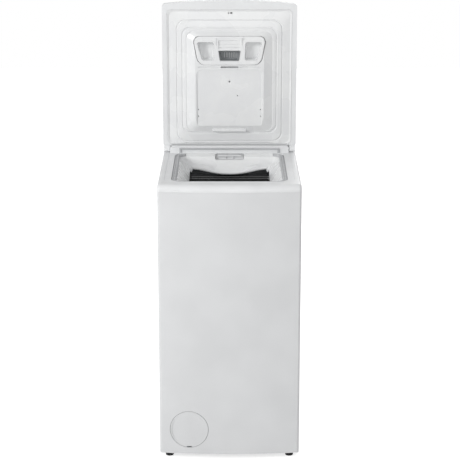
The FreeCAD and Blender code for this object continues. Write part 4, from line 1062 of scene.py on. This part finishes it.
def panel_screws():
    """Pan-head screws with a cross recess down both edges of the rear sheet."""
    low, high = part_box("cabinet_screws")
    radius, slot_half, slot_width = 4 * MM, 2.1 * MM, 0.5 * MM
    across, up = low.x + radius, low.z + radius
    profile = [(0, 0), (1.8, -0.1), (3.2, -0.6), (4, -1.4)]
    profile = [(out * MM, high.y + place * MM) for out, place in profile] + [(radius, low.y), (0, low.y)]
    screw = turned("panel_screw_1", profile, "y", (across, up), 24)
    for wide, tall in ((slot_half, slot_width), (slot_width, slot_half)):
        carve(screw, block("recess_tool", (across - wide, high.y - 1.2 * MM, up - tall),
                           (across + wide, high.y + 1 * MM, up + tall)))
    soften(screw, 0)
    heights = [height * MM - up for height in (60, 240, 420, 600, 770)]
    shifts = [(side, 0, lift) for side in (0, high.x - low.x - 2 * radius) for lift in heights]
    for number, shift in enumerate(shifts[1:], 2):
        finished(copied(screw, f"panel_screw_{number}", shift), "cabinet", "zinc_steel")
    finished(screw, "cabinet", "zinc_steel", "cabinet_screws")


# ---------------------------------------------------------------- console


SLOPE = math.radians(45)
LEAN = math.sqrt(0.5)
OUTWARD = Vector((0, -LEAN, LEAN))      # square to the fascia
UP_SLOPE = Vector((0, LEAN, LEAN))


def on_slope(piece, place):
    """Lay a piece that was made flat on the fascia's slope, with its origin at a place."""
    piece.rotation_euler = (SLOPE, 0, 0)
    piece.location = place
    return settle(piece)


def around_dial(centre, turn, radius):
    """A place at a distance from the dial's centre, clockwise from the top of the slope."""
    return centre + Vector((math.sin(turn), 0, 0)) * radius + UP_SLOPE * math.cos(turn) * radius


def fascia_marks():
    """Printed marks round the dial, programme numbers and lines beside the buttons."""
    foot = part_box("control_fascia")[0]
    sheet = 2.2 * MM            # thickness of the fascia, whose inner foot edge is the lowest
    print_height = 2.26 * MM
    surface = Vector((0, foot.y + sheet * LEAN, foot.z)) + OUTWARD * print_height
    base = dial_place + OUTWARD * ((surface - dial_place).dot(OUTWARD))

    def mark(name, centre, width, height, turn=0.0):
        """A thin printed bar in the slope's plane; its width and height are in mm."""
        deselect()
        bpy.ops.mesh.primitive_cube_add(size=1, location=centre)
        piece = bpy.context.object
        piece.name = name
        piece.scale = (width * MM, height * MM, 0.12 * MM)
        piece.rotation_euler = (SLOPE, 0, 0)
        piece.rotation_euler.rotate_axis("Z", turn)
        return settle(piece)

    ticks = []
    for number in range(16):
        turn = number / 16 * math.tau
        length = 3.4 if number % 4 == 0 else 2.2
        ticks.append(mark("tick", around_dial(base, turn, 26.5 * MM), 0.7, length, -turn))
    for across in (58, 20):
        above_button = Vector((across * MM, base.y, base.z)) + UP_SLOPE * 14.5 * MM
        ticks.append(mark("bar", above_button, 9, 0.8))
    for row in range(3):
        line = Vector((-95 * MM, base.y, base.z)) - UP_SLOPE * (30 + row * 4.5) * MM
        ticks.append(mark("bar", line, 60 - row * 14, 0.6))
    marks = join("fascia_print", ticks)
    finished(marks, "cabinet", "dark_window", material=PRINT)
    for number in range(8):
        turn = number / 8 * math.tau
        deselect()
        bpy.ops.object.text_add()
        figure = bpy.context.object
        figure.data.body = str(number + 1)
        figure.data.size = 5.8 * MM
        figure.data.extrude = 0.08 * MM
        figure.data.align_x = "CENTER"
        figure.data.align_y = "CENTER"
        bpy.ops.object.convert(target="MESH")
        figure = bpy.context.object
        figure.name = f"programme_number_{number + 1}"
        on_slope(figure, around_dial(base, turn, 32.5 * MM))
        finished(figure, "cabinet", "dark_window", material=PRINT)


def dial():
    """Programme dial with a fluted grip and a pointer on its face."""
    profile = [(0, -14), (3, -14), (3, 2.6), (21.5, 2.6), (22, 3.6), (22, 6.2),
               (19.8, 7.5), (18.8, 18.5), (18.2, 19.6), (17, 20), (0, 20.4)]
    profile = [(radius * MM, height * MM) for radius, height in profile]
    grip = turned("fluted_dial", profile, "z", (0, 0), 72)
    flute = rod("flute_tool", "z", 2.2 * MM, 9 * MM, 22.5 * MM, (20.6 * MM, 0), 12)
    tools = []
    for number in range(18):
        only(flute)
        bpy.ops.object.duplicate()
        tool = bpy.context.object
        tool.rotation_euler = (0, 0, number / 18 * math.tau)
        tools.append(settle(tool))
    bpy.data.objects.remove(flute)
    carve(grip, join("flutes", tools))
    pointer = block("dial_pointer", (-0.8 * MM, 4 * MM, 19.6 * MM),
                    (0.8 * MM, 16.5 * MM, 20.9 * MM), 0.6, "z", 3)
    soften(grip, 0.3, 2, 40)
    soften(pointer, 0.2, 2)
    for piece in (grip, pointer):
        on_slope(piece, dial_place)
    finished(grip, "knob", "white_plastic", "programme_knob")
    finished(pointer, "knob", "dark_window", material=PRINT)


def push_buttons():
    """Two round push buttons with a dished face."""
    for node, body in (("start_button", "start"), ("spin_button", "spin")):
        low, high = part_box(node)
        radius = (high.x - low.x) / 2
        half = ((high.y - low.y) / math.sin(SLOPE) - 2 * radius) / 2
        profile = [(0, -half), (radius, -half), (radius, half - 1.2 * MM), (radius * 0.94, half - 0.3 * MM),
                   (radius * 0.82, half), (radius * 0.64, half - 0.3 * MM), (0, half - 0.9 * MM)]
        cap = on_slope(turned(f"{node}_cap", profile, "z", (0, 0), 40), (low + high) / 2)
        soften(cap, 0)
        finished(cap, body, "gloss_white", node)


# ---------------------------------------------------------------- studio


def studio():
    """Pale floor, soft lights and the viewing camera."""
    seen_white, light_white = 1.0, 0.55         # the world as the camera and as surfaces see it
    look_down = math.radians(14.915)
    camera_place = (0.0015, -4.3362, 1.7583)
    light_target = Vector((0, -0.1, 0.75))
    deselect()
    bpy.ops.mesh.primitive_plane_add(size=14, location=(0, 0, cad_low.z))
    floor = bpy.context.object
    floor.name = "studio_floor"
    dress(floor, bare_floor())
    world = bpy.data.worlds.new("studio_white")
    bpy.context.scene.world = world
    world.use_nodes = True
    sky = world.node_tree
    seen = add(sky, "ShaderNodeLightPath", {}).outputs["Is Camera Ray"]
    strength = add(sky, "ShaderNodeMapRange", {"Value": seen, "To Min": light_white,
                                               "To Max": seen_white}).outputs[0]
    sky.nodes["Background"].inputs["Color"].default_value = (1, 1, 1, 1)
    sky.links.new(strength, sky.nodes["Background"].inputs["Strength"])
    lights = [("key_left", (-3.2, -2.6, 2.3), 1.2, 84), ("fill_front", (0.4, -4.4, 1.9), 2.0, 26),
              ("back_soft", (0.8, 3.6, 2.2), 2.4, 40)]
    for name, place, size, power in lights:
        lamp = bpy.data.lights.new(name, "AREA")
        lamp.size = size
        lamp.energy = power
        light = bpy.data.objects.new(name, lamp)
        light.location = place
        light.rotation_euler = (light_target - Vector(place)).to_track_quat("-Z", "Y").to_euler()
        bpy.context.scene.collection.objects.link(light)
    camera = bpy.data.cameras.new("front_view")
    camera.lens = 118.19
    camera.sensor_width = 36
    camera.clip_end = 100
    view = bpy.data.objects.new("front_view", camera)
    view.location = camera_place
    view.rotation_euler = (math.pi / 2 - look_down, 0, 0)
    bpy.context.scene.collection.objects.link(view)
    bpy.context.scene.camera = view
    bpy.context.scene.view_settings.view_transform = "Standard"


studio()
dress_frame()
lid_inner_panel()
finger_ledge()
detergent_box()
white_collar()
door_seal()
rubber_bellows()
hinge_cover()
hanging_springs()
drain_bellows()
drum_sheet()
filter_door()
rear_sheet()
panel_screws()
fascia_marks()
dial()
push_buttons()
